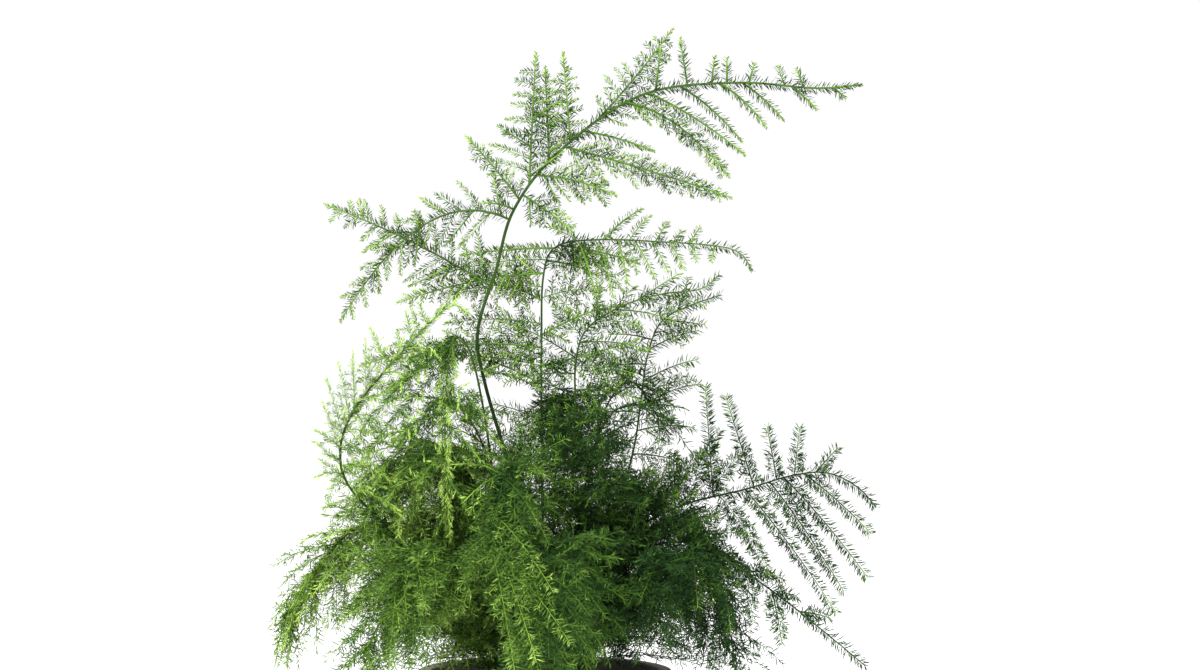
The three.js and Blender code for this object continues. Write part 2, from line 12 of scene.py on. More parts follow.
import bmesh
import bpy
import numpy as np
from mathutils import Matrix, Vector

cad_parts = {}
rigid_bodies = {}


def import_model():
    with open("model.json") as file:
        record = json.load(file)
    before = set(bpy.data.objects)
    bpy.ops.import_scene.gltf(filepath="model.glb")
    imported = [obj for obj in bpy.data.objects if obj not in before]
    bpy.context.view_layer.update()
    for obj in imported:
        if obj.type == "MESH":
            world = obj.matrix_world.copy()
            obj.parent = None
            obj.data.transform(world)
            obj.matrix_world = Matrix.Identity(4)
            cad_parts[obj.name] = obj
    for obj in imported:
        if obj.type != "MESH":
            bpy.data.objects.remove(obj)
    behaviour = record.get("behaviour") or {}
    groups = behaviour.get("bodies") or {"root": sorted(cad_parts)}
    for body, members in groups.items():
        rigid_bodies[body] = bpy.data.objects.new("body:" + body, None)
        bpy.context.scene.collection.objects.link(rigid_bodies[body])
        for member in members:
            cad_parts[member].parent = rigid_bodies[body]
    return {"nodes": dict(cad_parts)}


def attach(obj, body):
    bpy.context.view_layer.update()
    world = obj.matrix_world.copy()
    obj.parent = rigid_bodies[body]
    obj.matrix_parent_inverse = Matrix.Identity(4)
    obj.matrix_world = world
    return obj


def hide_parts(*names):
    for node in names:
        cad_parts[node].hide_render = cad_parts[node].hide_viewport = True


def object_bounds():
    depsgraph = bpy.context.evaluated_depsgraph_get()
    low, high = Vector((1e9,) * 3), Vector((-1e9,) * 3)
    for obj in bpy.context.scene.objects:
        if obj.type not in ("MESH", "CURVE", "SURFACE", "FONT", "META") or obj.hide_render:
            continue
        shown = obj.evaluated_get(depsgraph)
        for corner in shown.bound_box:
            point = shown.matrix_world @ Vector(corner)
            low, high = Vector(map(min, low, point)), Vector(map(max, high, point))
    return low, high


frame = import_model()
cad_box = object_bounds()
MM = 0.001


def rounded(corners):
    return [[round(x, 4) for x in corner] for corner in corners]


print("solids in the frame:", len(frame["nodes"]), "box", rounded(cad_box))

# %% [markdown]
# ## The camera
#
# The plant was photographed from straight in front, from far enough away that near and far
# needles look alike in size. A long lens does the same. One millimetre of the plant is to cover
# 1.8 pixels of a frame 1200 pixels wide, so the lens and the width of the view give the distance.

# %% The camera
PIXELS_PER_MM, IMAGE_WIDTH = 1.8, 1200
VIEW_WIDTH = IMAGE_WIDTH / PIXELS_PER_MM * MM
VIEW_CENTRE = Vector((30.6, 0, 312)) * MM
LENS = 150
ELEVATION = math.radians(3)

bpy.ops.object.camera_add()
camera = bpy.context.object
camera.data.lens = LENS
distance = VIEW_WIDTH * LENS / camera.data.sensor_width
back = Vector((0, -math.cos(ELEVATION), math.sin(ELEVATION)))
camera.location = VIEW_CENTRE + back * distance
camera.rotation_euler = (-back).to_track_quat("-Z", "Y").to_euler()
bpy.context.scene.camera = camera
print("camera distance", round(distance, 2), "m")

# %% [markdown]
# ## The floor and the light
#
# The photo has a white ground and soft light from every side, a little stronger from above on the
# left. A pale floor, a bright even sky and one large soft lamp give that. A second, weaker lamp
# keeps the right-hand side from going black.

# %% The floor and the light
FLOOR_SIZE, FLOOR_PALE, FLOOR_ROUGHNESS = 60, 0.95, 0.9
SKY_STRENGTH = 1.06
# Place, width and power of each lamp, in metres and watts.
LAMPS = {"key_lamp": ((-1.3, -1.6, 2.0), 1.0, 150), "fill_lamp": ((1.6, -1.4, 0.8), 1.4, 33)}

bpy.ops.mesh.primitive_plane_add(size=FLOOR_SIZE)
floor = bpy.context.object
floor.name = "floor"

floor_paint = bpy.data.materials.new("floor_paint")
floor_paint.use_nodes = True
shader = floor_paint.node_tree.nodes["Principled BSDF"]
shader.inputs["Base Color"].default_value = (FLOOR_PALE, FLOOR_PALE, FLOOR_PALE, 1)
shader.inputs["Roughness"].default_value = FLOOR_ROUGHNESS
floor.data.materials.append(floor_paint)

sky = bpy.data.worlds.new("sky")
sky.use_nodes = True
sky.node_tree.nodes["Background"].inputs["Color"].default_value = (1, 1, 1, 1)
sky.node_tree.nodes["Background"].inputs["Strength"].default_value = SKY_STRENGTH
bpy.context.scene.world = sky

for name, (place, width, power) in LAMPS.items():
    bpy.ops.object.light_add(type="AREA", location=place)
    lamp = bpy.context.object
    lamp.name = name
    lamp.data.size, lamp.data.energy = width, power
    lamp.rotation_euler = (VIEW_CENTRE - lamp.location).to_track_quat("-Z", "Y").to_euler()
bpy.context.scene.view_settings.view_transform = "Standard"
print("lamps:", list(LAMPS))

# %% [markdown]
# ## The rule that the plant grows by
#
# A plant is easier to grow than to draw. Every frond is a stem on a smooth route, with sprays
# that leave it at chosen places. A spray that would run into another one is bent aside, in the
# same way as in the solid model, so the fine pieces lie where the solids are. Lengths in this
# part are in millimetres, as they would be on a drawing.

# %% Sizes of the plant
SOIL_TOP, SOIL_DOME, HOLE_DEPTH = 113, 4, 22
POT_HEIGHT, POT_FOOT, POT_RIM, POT_WALL, POT_FLOOR = 125, 46, 68, 5, 7
POT_BAND, POT_PROUD = 17, 3
# Girths are half thicknesses, at the foot and at the tip.
STEM_GIRTH, SPRAY_GIRTH, TWIG_GIRTH = (1.25, 0.5), (0.75, 0.42), (0.6, 0.4)
TWIG_ANGLE, TWIG_DROOP, TWIG_TAPER, SHORTEST_TWIG = 52, 0.12, 0.75, 13
TUFT_STEP, TUFT_FIRST, TUFT_LAST = 17.5, 5, 4
CLEARANCE = 0.7
SEED, DRAW_STEPS, DRAW_STRETCH = 7, (12.9898, 78.233, 37.719), 43758.5453
UP = np.array((0.0, 0.0, 1.0))


def draw(a, b=0, c=0):
    """A repeatable draw from 0 to 1 for a set of whole numbers."""
    v = math.sin(SEED + a * DRAW_STEPS[0] + b * DRAW_STEPS[1] + c * DRAW_STEPS[2]) * DRAW_STRETCH
    return v - math.floor(v)


def vary(low, width, *numbers):
    """A repeatable draw from low to low and a width."""
    return low + width * draw(*numbers)


print("a first draw:", round(draw(1), 4))

# %% Routes and sprays of the fronds that show one by one
# Each spray is: place along the route, x, y and z of its tip, bow, length of its side twigs.
CHOSEN = {
    "frond_tall": {
        "foot": (-3, -3), "face": (0, -1, 0.25),
        "route": [
            (-10, -4, 200), (-33, -9, 285), (-37, -10, 315), (-27, -10, 348), (-17, -8, 382),
            (8, -6, 414), (53, -4, 445), (105, -2, 452), (150, 0, 449), (176, 2, 451)],
        "sprays": [
            (3.75, -121, -22, 385, 0.06, 32), (4.8, -112, -36, 321, 0.46, 28),
            (5.15, -44, -14, 423, 0.05, 9), (5.04, -34, -22, 386, 0.1, 0),
            (5.4, -5, 4, 469, 0, 30), (5.85, 0, 14, 461, 0, 24), (6.2, 10, 2, 469, 0, 10),
            (6.5, 71, 12, 482, -0.05, 15), (7.2, 64, -14, 471, 0, 0), (7.52, 75, 6, 477, 0, 0),
            (7.72, 94, -6, 467, 0, 0), (7.95, 101, 5, 466, 0, 0), (8.2, 116, -3, 463, 0, 0),
            (8.55, 129, 4, 461, 0, 0), (8.8, 139, -3, 460, 0, 0), (6.08, 103, -32, 389, 0.02, 15),
            (6.83, 102, -18, 400, 0.22, 12), (7.1, 111, -13, 412, 0.08, 0),
            (7.38, 110, 10, 419, 0.12, 0), (7.85, 123, -9, 427, 0.15, 0),
            (8.1, 133, 5, 431, 0.1, 0), (8.7, 151, -2, 437, 0.05, 0), (9.3, 167, 3, 443, 0.05, 0),
            (5.55, 40, -28, 390, 0.1, 17), (6.32, 61, 4, 414, 0.06, 0),
            (5.27, 16, -26, 370, 0.05, 14)],
    },
    "frond_level": {
        "foot": (3, 5), "face": (0, -1, 0.5),
        "route": [
            (-1, 6, 191), (-2, 8, 263), (-2, 8, 308), (-1, 6, 344), (6, 4, 361), (30, 0, 365),
            (64, -6, 364), (94, -10, 362), (108, -12, 358), (115, -13, 348)],
        "sprays": [
            (4.9, -47, 0, 356, 0.05, 0), (4.1, -82, -8, 330, 0.08, 15),
            (4.4, 30, 22, 344, 0.1, 12), (3.1, 44, 30, 328, 0.1, 15),
            (2.7, 53, 14, 309, -0.03, 15), (2.92, -103, -6, 295, 0.12, 20),
            (6.1, 54, 10, 382, 0.1, 0), (6.9, 68, 2, 375, 0, 0), (7.5, 86, -4, 372, 0, 0),
            (5.6, 31, -20, 325, 0.15, 0), (6.35, 46, -14, 341, 0.08, 0),
            (6.6, 61, -16, 344, 0.1, 0), (7.2, 77, -18, 349, 0.1, 0), (8, 92, -18, 353, 0.1, 0),
            (5.1, 53, 24, 351, 0.05, 12), (2.4, -52, 34, 300, 0.1, 16),
            (3.6, -30, 40, 338, 0.1, 14)],
    },
    "frond_young": {
        "foot": (-10, -6), "face": (0.3, -1, 0.6),
        "route": [
            (-42, -18, 163), (-81, -28, 202), (-107, -34, 230), (-112, -36, 250), (-106, -36, 270),
            (-91, -36, 290), (-74, -36, 309), (-58, -36, 325), (-49, -37, 331), (-41, -38, 325)],
        "sprays": [
            (5.2, -105, -40, 306, 0, 0), (6.3, -96, -34, 318, 0, 0), (7.1, -76, -34, 327, 0, 0),
            (7.6, -69, -40, 332, 0, 0), (4.6, -86, -44, 256, 0.2, 10),
            (5.5, -72, -48, 268, 0.2, 12), (6.2, -66, -46, 288, 0.2, 10),
            (6.85, -54, -44, 303, 0.2, 0), (4.1, -126, -42, 262, 0.1, 0),
            (3.3, -126, -46, 236, 0.2, 0), (2.8, -78, -52, 218, 0.2, 12),
            (3.6, -88, -52, 238, 0.2, 10)],
    },
    "frond_hanging": {
        "foot": (-5, -12), "face": (0, -1, 0.2),
        "route": [
            (-22, -18, 191), (-33, -26, 269), (-41, -32, 305), (-49, -40, 313), (-52, -48, 299),
            (-54, -54, 269), (-53, -58, 235), (-51, -60, 202)],
        "sprays": [
            (5, -86, -62, 283, 0.2, 12), (5.4, -30, -62, 268, 0.2, 12),
            (5.9, -84, -70, 255, 0.2, 10), (6.1, -34, -68, 247, 0.15, 0),
            (6.5, -70, -72, 232, 0.1, 0), (6.9, -40, -70, 218, 0.1, 0),
            (7.4, -59, -66, 206, 0.05, 0), (3.2, -60, -14, 300, 0.2, 12),
            (2.6, -2, -34, 284, 0.15, 12)],
    },
    "frond_right": {
        "foot": (10, 2), "face": (0, -1, 0.8),
        "route": [
            (19, 4, 169), (44, 2, 199), (75, -4, 217), (111, -12, 227), (136, -18, 235),
            (156, -22, 237), (173, -24, 229), (183, -25, 218)],
        "sprays": [
            (4, 160, -44, 162, 0.06, 0), (4.5, 165, -30, 172, 0.06, 9),
            (4.85, 178, -34, 180, 0.06, 0), (5.3, 180, -30, 204, 0.06, 0),
            (4.15, 100, -16, 279, 0, 0), (3.5, 89, -6, 284, 0, 0), (4.65, 123, -14, 262, 0, 0),
            (5.1, 141, -16, 262, 0, 0), (5.7, 162, -20, 251, 0, 0), (3.2, 108, -40, 176, 0.1, 12),
            (2.6, 40, -34, 236, 0.1, 14), (2.9, 72, 30, 244, 0.1, 14),
            (2.3, 64, -38, 176, 0.1, 12)],
    },
    "frond_low_right": {
        "foot": (13, -7), "face": (0.3, -1, 1),
        "route": [
            (26, -14, 168), (53, -22, 194), (81, -30, 199), (100, -36, 190), (130, -42, 170),
            (159, -46, 147), (176, -48, 133)],
        "sprays": [
            (2.6, 52, -56, 168, 0.15, 12), (3, 84, -58, 166, 0.15, 10),
            (3.3, 104, -10, 188, 0.1, 12), (3.8, 102, -58, 152, 0.15, 0),
            (4.3, 132, -22, 178, 0.1, 0), (4.8, 130, -58, 146, 0.1, 0),
            (5.3, 157, -34, 158, 0.05, 0), (2.2, 70, -2, 206, 0.1, 12)],
    },
    "frond_mid_right": {
        "foot": (8, 10), "face": (0, -1, 0.5),
        "route": [
            (31, 14, 180), (48, 16, 241), (53, 18, 270), (57, 18, 299), (65, 14, 319),
            (81, 10, 328), (98, 6, 334)],
        "sprays": [
            (4.2, 86, 30, 313, 0.1, 12), (3.5, 85, 8, 298, 0.1, 12), (3, 88, 28, 283, 0.15, 14),
            (4.4, 31, 6, 312, 0.1, 12), (3.8, 24, 26, 290, 0.1, 14), (2.9, 20, 8, 266, 0.1, 14),
            (2.5, 84, 34, 258, 0.1, 16), (2.1, 78, 2, 240, 0.1, 14), (5.1, 89, -4, 318, 0, 0),
            (5.6, 80, 24, 343, 0, 0)],
    },
    "frond_reach": {
        "foot": (4, -10), "face": (0, -1, 0.7),
        "route": [
            (13, -14, 191), (17, -18, 263), (17, -20, 296), (23, -22, 316), (42, -26, 329),
            (64, -30, 336), (86, -33, 339), (96, -34, 347)],
        "sprays": [
            (3.2, -26, -30, 322, 0.1, 14), (3.6, 58, -44, 306, 0.1, 12),
            (4.3, 34, -8, 340, 0.05, 0), (4.8, 72, -42, 322, 0.08, 0), (5.4, 74, -20, 347, 0, 0),
            (6, 88, -42, 330, 0.05, 0), (2.5, 54, -40, 278, 0.1, 14),
            (2.8, -20, -38, 288, 0.1, 14), (2.1, -14, -42, 262, 0.1, 12)],
    },
}
print("fronds that show one by one:", len(CHOSEN))

# %% Fronds of the mound, in two tiers round the crown
# "from" turns the first frond, "ring" is how far out the feet stand, "tip" how high the tip hangs
# as a share of the rise. "spray" and "barbs" are the lengths of sprays and side twigs, "fill" the
# number of fine sprays, "hang" how many of them hang, and "fade" how much shorter the last are.
TIERS = {
    "frond_arch": {"count": 6, "from": 20, "ring": 17, "reach": 78, "rise": 150, "tip": 0.86,
                   "sprays": 9, "spray": 58, "barbs": 16, "fill": 64, "hang": 0.74, "fade": 0.25},
    "frond_skirt": {"count": 7, "from": 22, "ring": 25, "reach": 112, "rise": 82, "tip": 0.42,
                    "sprays": 9, "spray": 60, "barbs": 16, "fill": 56, "hang": 0.6, "fade": 0.35},
}
MOUND_LEAN = 0.2
ARCH_ROUTE = [(0.1, 0.5), (0.32, 0.88), (0.66, 1)]
TURNS = (0, 6, -6, 12, -12, 18, -18, 24, -24)
print("fronds of the mound:", sum(tier["count"] for tier in TIERS.values()))

# %% A line through dense points, measured along its length
ROUTE_STEPS = 12
HEADING_REACH = 1.5


def unit(v):
    return v / np.linalg.norm(v, axis=-1, keepdims=True)


def square_to(v, heading):
    """The part of v that stands square to a heading, at length 1."""
    return unit(v - heading * np.sum(v * heading, axis=-1, keepdims=True))


class Line:
    def __init__(self, points):
        self.points = np.asarray(points, float)
        steps = np.linalg.norm(np.diff(self.points, axis=0), axis=1)
        self.reach = np.concatenate(([0.0], np.cumsum(steps)))
        self.length = self.reach[-1]

    def at(self, s):
        return np.stack([np.interp(s, self.reach, self.points[:, k]) for k in range(3)], axis=-1)

    def heading(self, s):
        ahead = np.minimum(np.asarray(s) + HEADING_REACH, self.length)
        behind = np.maximum(np.asarray(s) - HEADING_REACH, 0)
        return unit(self.at(ahead) - self.at(behind))


def smooth_route(points):
    """Points on a smooth curve through the route's points, as many between each two."""
    p = np.asarray(points, float)
    p = np.vstack([2 * p[0] - p[1], p, 2 * p[-1] - p[-2]])
    made = []
    for i in range(1, len(p) - 2):
        for t in np.arange(ROUTE_STEPS) / ROUTE_STEPS:
            m0, m1 = (p[i + 1] - p[i - 1]) / 2, (p[i + 2] - p[i]) / 2
            a = 2 * p[i] - 2 * p[i + 1] + m0 + m1
            b = -3 * p[i] + 3 * p[i + 1] - 2 * m0 - m1
            made.append(a * t**3 + b * t**2 + m0 * t + p[i])
    return made + [p[-2]]


print("points on a route of three:", len(smooth_route([(0, 0, 0), (1, 0, 0), (2, 1, 0)])))

# %% A twig, with its girth and its flat side
FACE_STEP = 6


class Twig:
    """A stem, spray or side twig, of level 0, 1 or 2, and what grows on it.

    Barbs are the length of its side twigs, fresh makes it brighter, thinned is its share of
    needles and mixed is how much its side twigs differ.
    """

    def __init__(self, line, face, girth, level, parent=None, start=0.0, from_tip=False):
        self.line, self.girths, self.level = line, girth, level
        self.parent, self.start, self.grown = parent, start, []
        self.number, self.barbs, self.fresh, self.thinned, self.mixed = 0, 0, 0.0, 1.0, 0.2
        steps = max(2, math.ceil(line.length / FACE_STEP))
        order = range(steps, -1, -1) if from_tip else range(steps + 1)
        self.faces = np.zeros((steps + 1, 3))
        for i in order:
            face = square_to(face, line.heading(line.length * i / steps))
            self.faces[i] = face

    def girth(self, s):
        return self.girths[0] + (self.girths[1] - self.girths[0]) * s / self.line.length

    def facing(self, s):
        steps = len(self.faces) - 1
        place = np.asarray(s) / self.line.length * steps
        i = np.minimum(steps - 1, np.floor(place).astype(int))
        share = (place - i)[..., None]
        face = self.faces[i] * (1 - share) + self.faces[i + 1] * share
        return square_to(face, self.line.heading(s))

    def sideways(self, s):
        return np.cross(self.facing(s), self.line.heading(s))


# %% [markdown]
# ## Room for every twig
#
# Two real twigs never stand in one place. Every twig is cut into short tapered pieces, and a new
# one is compared with all the pieces that are already there. Near its own root it may touch the
# twig that carries it. The pot and the soil are tested by their sizes.

# %% The room that already grown twigs take
PIECE_LENGTH = 9
OWN_ROOT = 12


class Room:
    def __init__(self):
        self.rows, self.owners, self.table = [], [], None

    def pieces(self, twig):
        count = max(2, math.ceil(twig.line.length / PIECE_LENGTH))
        cuts = twig.line.length * np.arange(count + 1) / count
        ends, girth = twig.line.at(cuts), twig.girth(cuts)
        return [np.concatenate((*ends[i:i + 2], girth[i:i + 2], cuts[i:i + 2]))
                for i in range(count)]

    def settle(self, twig):
        for row in self.pieces(twig):
            self.rows.append(row)
            self.owners.append(twig)
        self.table = np.array(self.rows)

    def is_clear(self, twig, may_touch_pot=False):
        for row in self.pieces(twig):
            if not may_touch_pot and hits_pot(row[3:6]):
                return False
            if self.table is None:
                continue
            near = spacing(row, self.table) < CLEARANCE
            for i in np.flatnonzero(near):
                middle = (self.rows[i][8] + self.rows[i][9]) / 2
                if self.owners[i] is not twig.parent or abs(middle - twig.start) >= OWN_ROOT:
                    return False
        return True


def spacing(row, table):
    """The gap between the skins of one tapered capsule and of many, at their closest points."""
    p, q = row[:3], table[:, :3]
    d1, d2 = row[3:6] - p, table[:, 3:6] - q
    r = p - q
    a, e = d1 @ d1, np.sum(d2 * d2, axis=1)
    f, c, b = np.sum(d2 * r, axis=1), r @ d1, d2 @ d1
    bottom = a * e - b * b
    s = np.where(bottom > 1e-9, np.clip((b * f - c * e) / np.maximum(bottom, 1e-12), 0, 1), 0)
    t = (b * s + f) / e
    outside = (t < 0) | (t > 1)
    t = np.clip(t, 0, 1)
    s = np.where(outside, np.clip((b * t - c) / a, 0, 1), s)
    gap = np.linalg.norm(p + d1 * s[:, None] - q - d2 * t[:, None], axis=1)
    own, other = row[6] + (row[7] - row[6]) * s, table[:, 6] + (table[:, 7] - table[:, 6]) * t
    return gap - own - other


def hits_pot(p, margin=1.6):
    """True where a twig would run into the pot or the soil."""
    wall = POT_FOOT + (POT_RIM - POT_FOOT) * p[2] / POT_HEIGHT
    pot_radius = POT_RIM + POT_PROUD if p[2] > POT_HEIGHT - POT_BAND else wall
    r = math.hypot(p[0], p[1])
    if p[2] > POT_HEIGHT + margin or r > pot_radius + margin:
        return False
    return not (r < POT_RIM - POT_WALL - margin and p[2] > SOIL_TOP + SOIL_DOME + margin)


print("the middle of the soil is taken:", hits_pot((0, 0, SOIL_TOP)))

# %% [markdown]
# ## Stems, sprays and side twigs
#
# A stem grows through its route, a spray bows from the stem to its tip, and side twigs leave a
# spray in turn to the left and to the right. A twig that has no room is tried again a little
# further out or higher up. The fronds of the mound can't be told apart in a bush, so they aren't
# drawn one by one: their routes and sprays come from their place in the ring.

# %% Stems, sprays and side twigs
# How far a twig's tip may move when it has no room, out of its flat side and up.
ASIDE = [(0, 0), (0.1, 0), (-0.1, 0), (0.22, 0), (-0.22, 0), (0, 0.16), (0, -0.16),
         (0.36, 0), (-0.36, 0), (0.3, 0.2), (-0.3, -0.2), (0.3, -0.2), (-0.3, 0.2), (0.5, 0),
         (-0.5, 0)]
TWIG_STEPS = 16
room = Room()


def make_stem(plan):
    ground = np.array((*plan["foot"], SOIL_TOP + SOIL_DOME + 1.0))
    bottom = np.array((*plan["foot"], SOIL_TOP - HOLE_DEPTH + 1.0))
    line = Line([bottom, *smooth_route([ground, *plan["route"]])])
    stem = Twig(line, unit(np.array(plan["face"], float)), STEM_GIRTH, 0, from_tip=True)
    stem.plan, stem.tier = plan, plan.get("tier")
    return stem


def stem_place(stem, at):
    """The length along a stem of a place that is counted in points of its route."""
    return stem.line.reach[1 + math.floor(at * ROUTE_STEPS + 0.5)]


def make_twig(parent, start, tip, bow, girth, level):
    """A spray or side twig as one bowed line from its parent to its tip."""
    root = parent.line.at(start)
    middle = (root + tip) / 2 + UP * bow * np.linalg.norm(tip - root)
    t = (np.arange(TWIG_STEPS + 1) / TWIG_STEPS)[:, None]
    points = root * (1 - t) ** 2 + middle * 2 * t * (1 - t) + tip * t**2
    return Twig(Line(points), parent.facing(start), girth, level, parent, start)


def grow(parent, start, tip, bow, girth, level):
    """Grows a twig to its tip, or bent aside where something already stands."""
    length = np.linalg.norm(tip - parent.line.at(start))
    face = parent.facing(start)
    for out, lift in ASIDE:
        aside = tip + face * out * length + UP * lift * length
        twig = make_twig(parent, start, aside, bow, girth, level)
        if room.is_clear(twig):
            parent.grown.append(twig)
            room.settle(twig)
            return twig
    return None


def tip_of(parent, start, out, angle, length, droop=0.0):
    """Where a twig ends that leaves its parent at an angle towards out, and droops a share."""
    tip = parent.line.at(start) + parent.line.heading(start) * math.cos(angle) * length
    return tip + out * math.sin(angle) * length - UP * droop * length


def tier_frond(tier, i, aside):
    """A tier's frond has the same parts as a chosen one, worked out from its place in the ring."""
    ring = tier["ring"]
    turn = tier["from"] + aside + 360 * i / tier["count"] + 16 * (draw(ring, i) - 0.5)
    turn = math.radians(turn)
    out = np.array((math.cos(turn), math.sin(turn), 0))
    reach = tier["reach"] * (1 - MOUND_LEAN * out[0]) * vary(0.86, 0.28, ring, i, 1)
    rise = tier["rise"] * vary(0.84, 0.32, ring, i, 2)
    shape = [*ARCH_ROUTE, (1, tier["tip"] * vary(0.8, 0.3, ring, i, 3))]
    route = [out * (ring + reach * r) + UP * (SOIL_TOP + rise * z) for r, z in shape]
    return {"foot": tuple(out[:2] * ring), "face": tuple(out * 0.3 + UP), "route": route,
            "tier": tier}


def tier_spray(stem, index, j):
    """The place, tip, bow and side twigs of a tier frond's spray, shorter towards the tip."""
    tier = stem.tier
    share = j / (tier["sprays"] - 1)
    at = 0.8 + 3 * share
    start = stem_place(stem, at)
    side = 1 if j % 2 else -1
    length = tier["spray"] * (1 - 0.68 * share) * vary(0.85, 0.3, index, j, 1)
    out = stem.sideways(start) * side
    tip = tip_of(stem, start, out, math.radians(66 - 26 * share), length, 0.2)
    return (at, *tip, 0.14, tier["barbs"] * (1 - 0.5 * share))


def tuft_places(twig):
    space = twig.line.length - TUFT_FIRST - TUFT_LAST
    count = max(0, math.floor(space / TUFT_STEP + 0.5))
    return [TUFT_FIRST + space * i / max(1, count) for i in range(count + 1)]


def side_twig_length(spray, start, share):
    return spray.barbs * (1 - TWIG_TAPER * start / spray.line.length) * share


def side_twig_tip(spray, start, j, length, angle):
    out = spray.sideways(start) * (1 if j % 2 else -1)
    return tip_of(spray, start, out, math.radians(angle), length, TWIG_DROOP)


# %% Grow the whole plant
stems = {}
for name, plan in CHOSEN.items():
    stems[name] = make_stem(plan)
    room.settle(stems[name])
for tier_name, tier in TIERS.items():
    for i in range(tier["count"]):
        options = [make_stem(tier_frond(tier, i, aside)) for aside in TURNS]
        clear = [stem for stem in options if room.is_clear(stem, may_touch_pot=True)]
        name = f"{tier_name}_{i + 1}"
        stems[name] = (clear or options)[0]
        room.settle(stems[name])

grown = []
for index, stem in enumerate(stems.values()):
    if stem.tier:
        sprays = [tier_spray(stem, index, j) for j in range(stem.tier["sprays"])]
    else:
        sprays = stem.plan["sprays"]
    for at, x, y, z, bow, barbs in sprays:
        tip = np.array((x, y, z), float)
        spray = grow(stem, stem_place(stem, at), tip, bow, SPRAY_GIRTH, 1)
        if spray:
            spray.barbs, spray.number = barbs, len(stems) + len(grown)
            grown.append(spray)

for spray in grown:
    for j, start in enumerate(tuft_places(spray) if spray.barbs else []):
        length = side_twig_length(spray, start, vary(0.85, 0.3, spray.number, j))
        if length < SHORTEST_TWIG:
            continue
        angle = TWIG_ANGLE + 10 * (draw(spray.number, j, 1) - 0.5)
        tip = side_twig_tip(spray, start, j, length, angle)
        grow(spray, start, tip, 0.05, TWIG_GIRTH, 2)
for name, stem in stems.items():
    print(name, "sprays", len(stem.grown), "side twigs", sum(len(s.grown) for s in stem.grown))

# %% [markdown]
# ## The finer twigs
#
# The solid model keeps only some of the side twigs. The real sprays carry one every few
# millimetres, in turn to the left and to the right, each shorter than the one before, which is
# what makes a frond look like lace. Particles could scatter them, but here each one follows the
# bend of its spray and keeps out of the gaps that light shows through, so they grow by the same
# rule as the side twigs of the solid model, and lie between those.

# %% A fine twig that keeps out of the pot and the gaps
FINE_GIRTHS = {1: (0.42, 0.26), 2: (0.3, 0.22)}
FINE_SHORTEST, FINE_FIRST, FINE_ENDS, FINE_APART = 3.5, 3, 8, 1.5
# Gaps that light shows through, as left, right, bottom and top seen from the front.
GAPS = [(30, 50, 304, 313), (60, 75, 290, 306), (37, 52, 269, 280), (73, 87, 250, 281),
        (57, 64, 254, 266), (-31, -8, 269, 289), (1, 19, 303, 311)]


def is_within(p, window):
    return window[0] < p[0] < window[1] and window[2] < p[2] < window[3]


def add_fine_twig(parent, start, tip, bow, level=1, barbs=0, fresh=0.0):
    """Adds a fine spray or side twig, and is true where there was room for it."""
    twig = make_twig(parent, start, np.asarray(tip, float), bow, FINE_GIRTHS[level], level)
    path = twig.line.points[::4]
    if any(hits_pot(p) or any(is_within(p, gap) for gap in GAPS) for p in path):
        return False
    parent.grown.append(twig)
    twig.number, twig.barbs, twig.fresh = parent.number * 37 + len(parent.grown), barbs, fresh
    return True


def add_fine_side_twigs(spray, step, loose, turned=0, longer=1.0):
    """Side twigs at a spacing. Loose ones stand more out of the spray's flat side."""
    taken = [t.start for t in spray.grown]
    for j in range(max(0, int((spray.line.length - FINE_ENDS) / step))):
        start = FINE_FIRST + step * (j + 0.6 * draw(spray.number, j, 5))
        if any(abs(start - t) < FINE_APART for t in taken):
            continue
        length = side_twig_length(spray, start, vary(0.75, 0.4, spray.number, j, 6)) * longer
        if length < FINE_SHORTEST:
            continue
        upright = max(0, spray.line.heading(start)[2])
        angle = TWIG_ANGLE + 24 * upright + turned * (1 - upright)
        angle += 18 * (draw(spray.number, j, 7) - 0.5)
        tip = side_twig_tip(spray, start, j, length, angle)
        lift = loose * length * (draw(spray.number, j, 8) - 0.5)
        add_fine_twig(spray, start, tip + spray.facing(start) * lift, 0.05, 2)


print("gaps kept open:", len(GAPS))

# %% [markdown]
# ## Fine sprays that fill the mound
#
# The crown of the real plant is so dense that no light comes through, with a soft domed top. More
# sprays leave each mound frond all round, turned by a chance angle and mostly hanging. One that
# would stand out of the dome is tried again lower and shorter. To the right of the dome the
# fronds open into lace, so sprays that end there get fewer and longer side twigs.

# %% The form of the crown, and the sprays that fill it
FILL_PLACES, FILL_BOW, FILL_DROOP, FILL_BARBS = (0.34, 3.9), 0.14, 0.2, 1.2
# More hang and less length, tried in turn.
FILL_TRIES = [(0, 1), (0.3, 1), (0.6, 1), (0.6, 0.75), (0.6, 0.5)]
CROWN_SPARE, BOX_SPARE = 6, 4
LACE_HEIGHTS, LACE_EDGE = [138, 165, 190, 216, 247], [76, 71, 61, 49, 33]
# The space of the hanging frond's bright plume. Nothing of the mound may stand in front of it.
PLUME_SPACE, PLUME_FRONT = (-66, -40, 194, 262), -50


def hides_plume(tip, root):
    return any(p[1] < PLUME_FRONT and is_within(p, PLUME_SPACE) for p in (tip, (tip + root) / 2))


def fill_of(stem):
    """Fronds on the left have more filling sprays than fronds on the right."""
    x = stem.line.points[-1][0]
    return round(stem.tier["fill"] * (1 - (0.004 if x < 0 else 0.001) * x))


def crown_top(x):
    """How high the dense crown reaches. It falls to both sides, where single fronds stand."""
    return 269 - 0.36 * max(0, 2 - x) - 1.0 * max(0, x - 18)


def lace_begins(z):
    """How far right the dense crown reaches at a height. Beyond it the fronds are open lace."""
    return np.interp(z, LACE_HEIGHTS, LACE_EDGE)


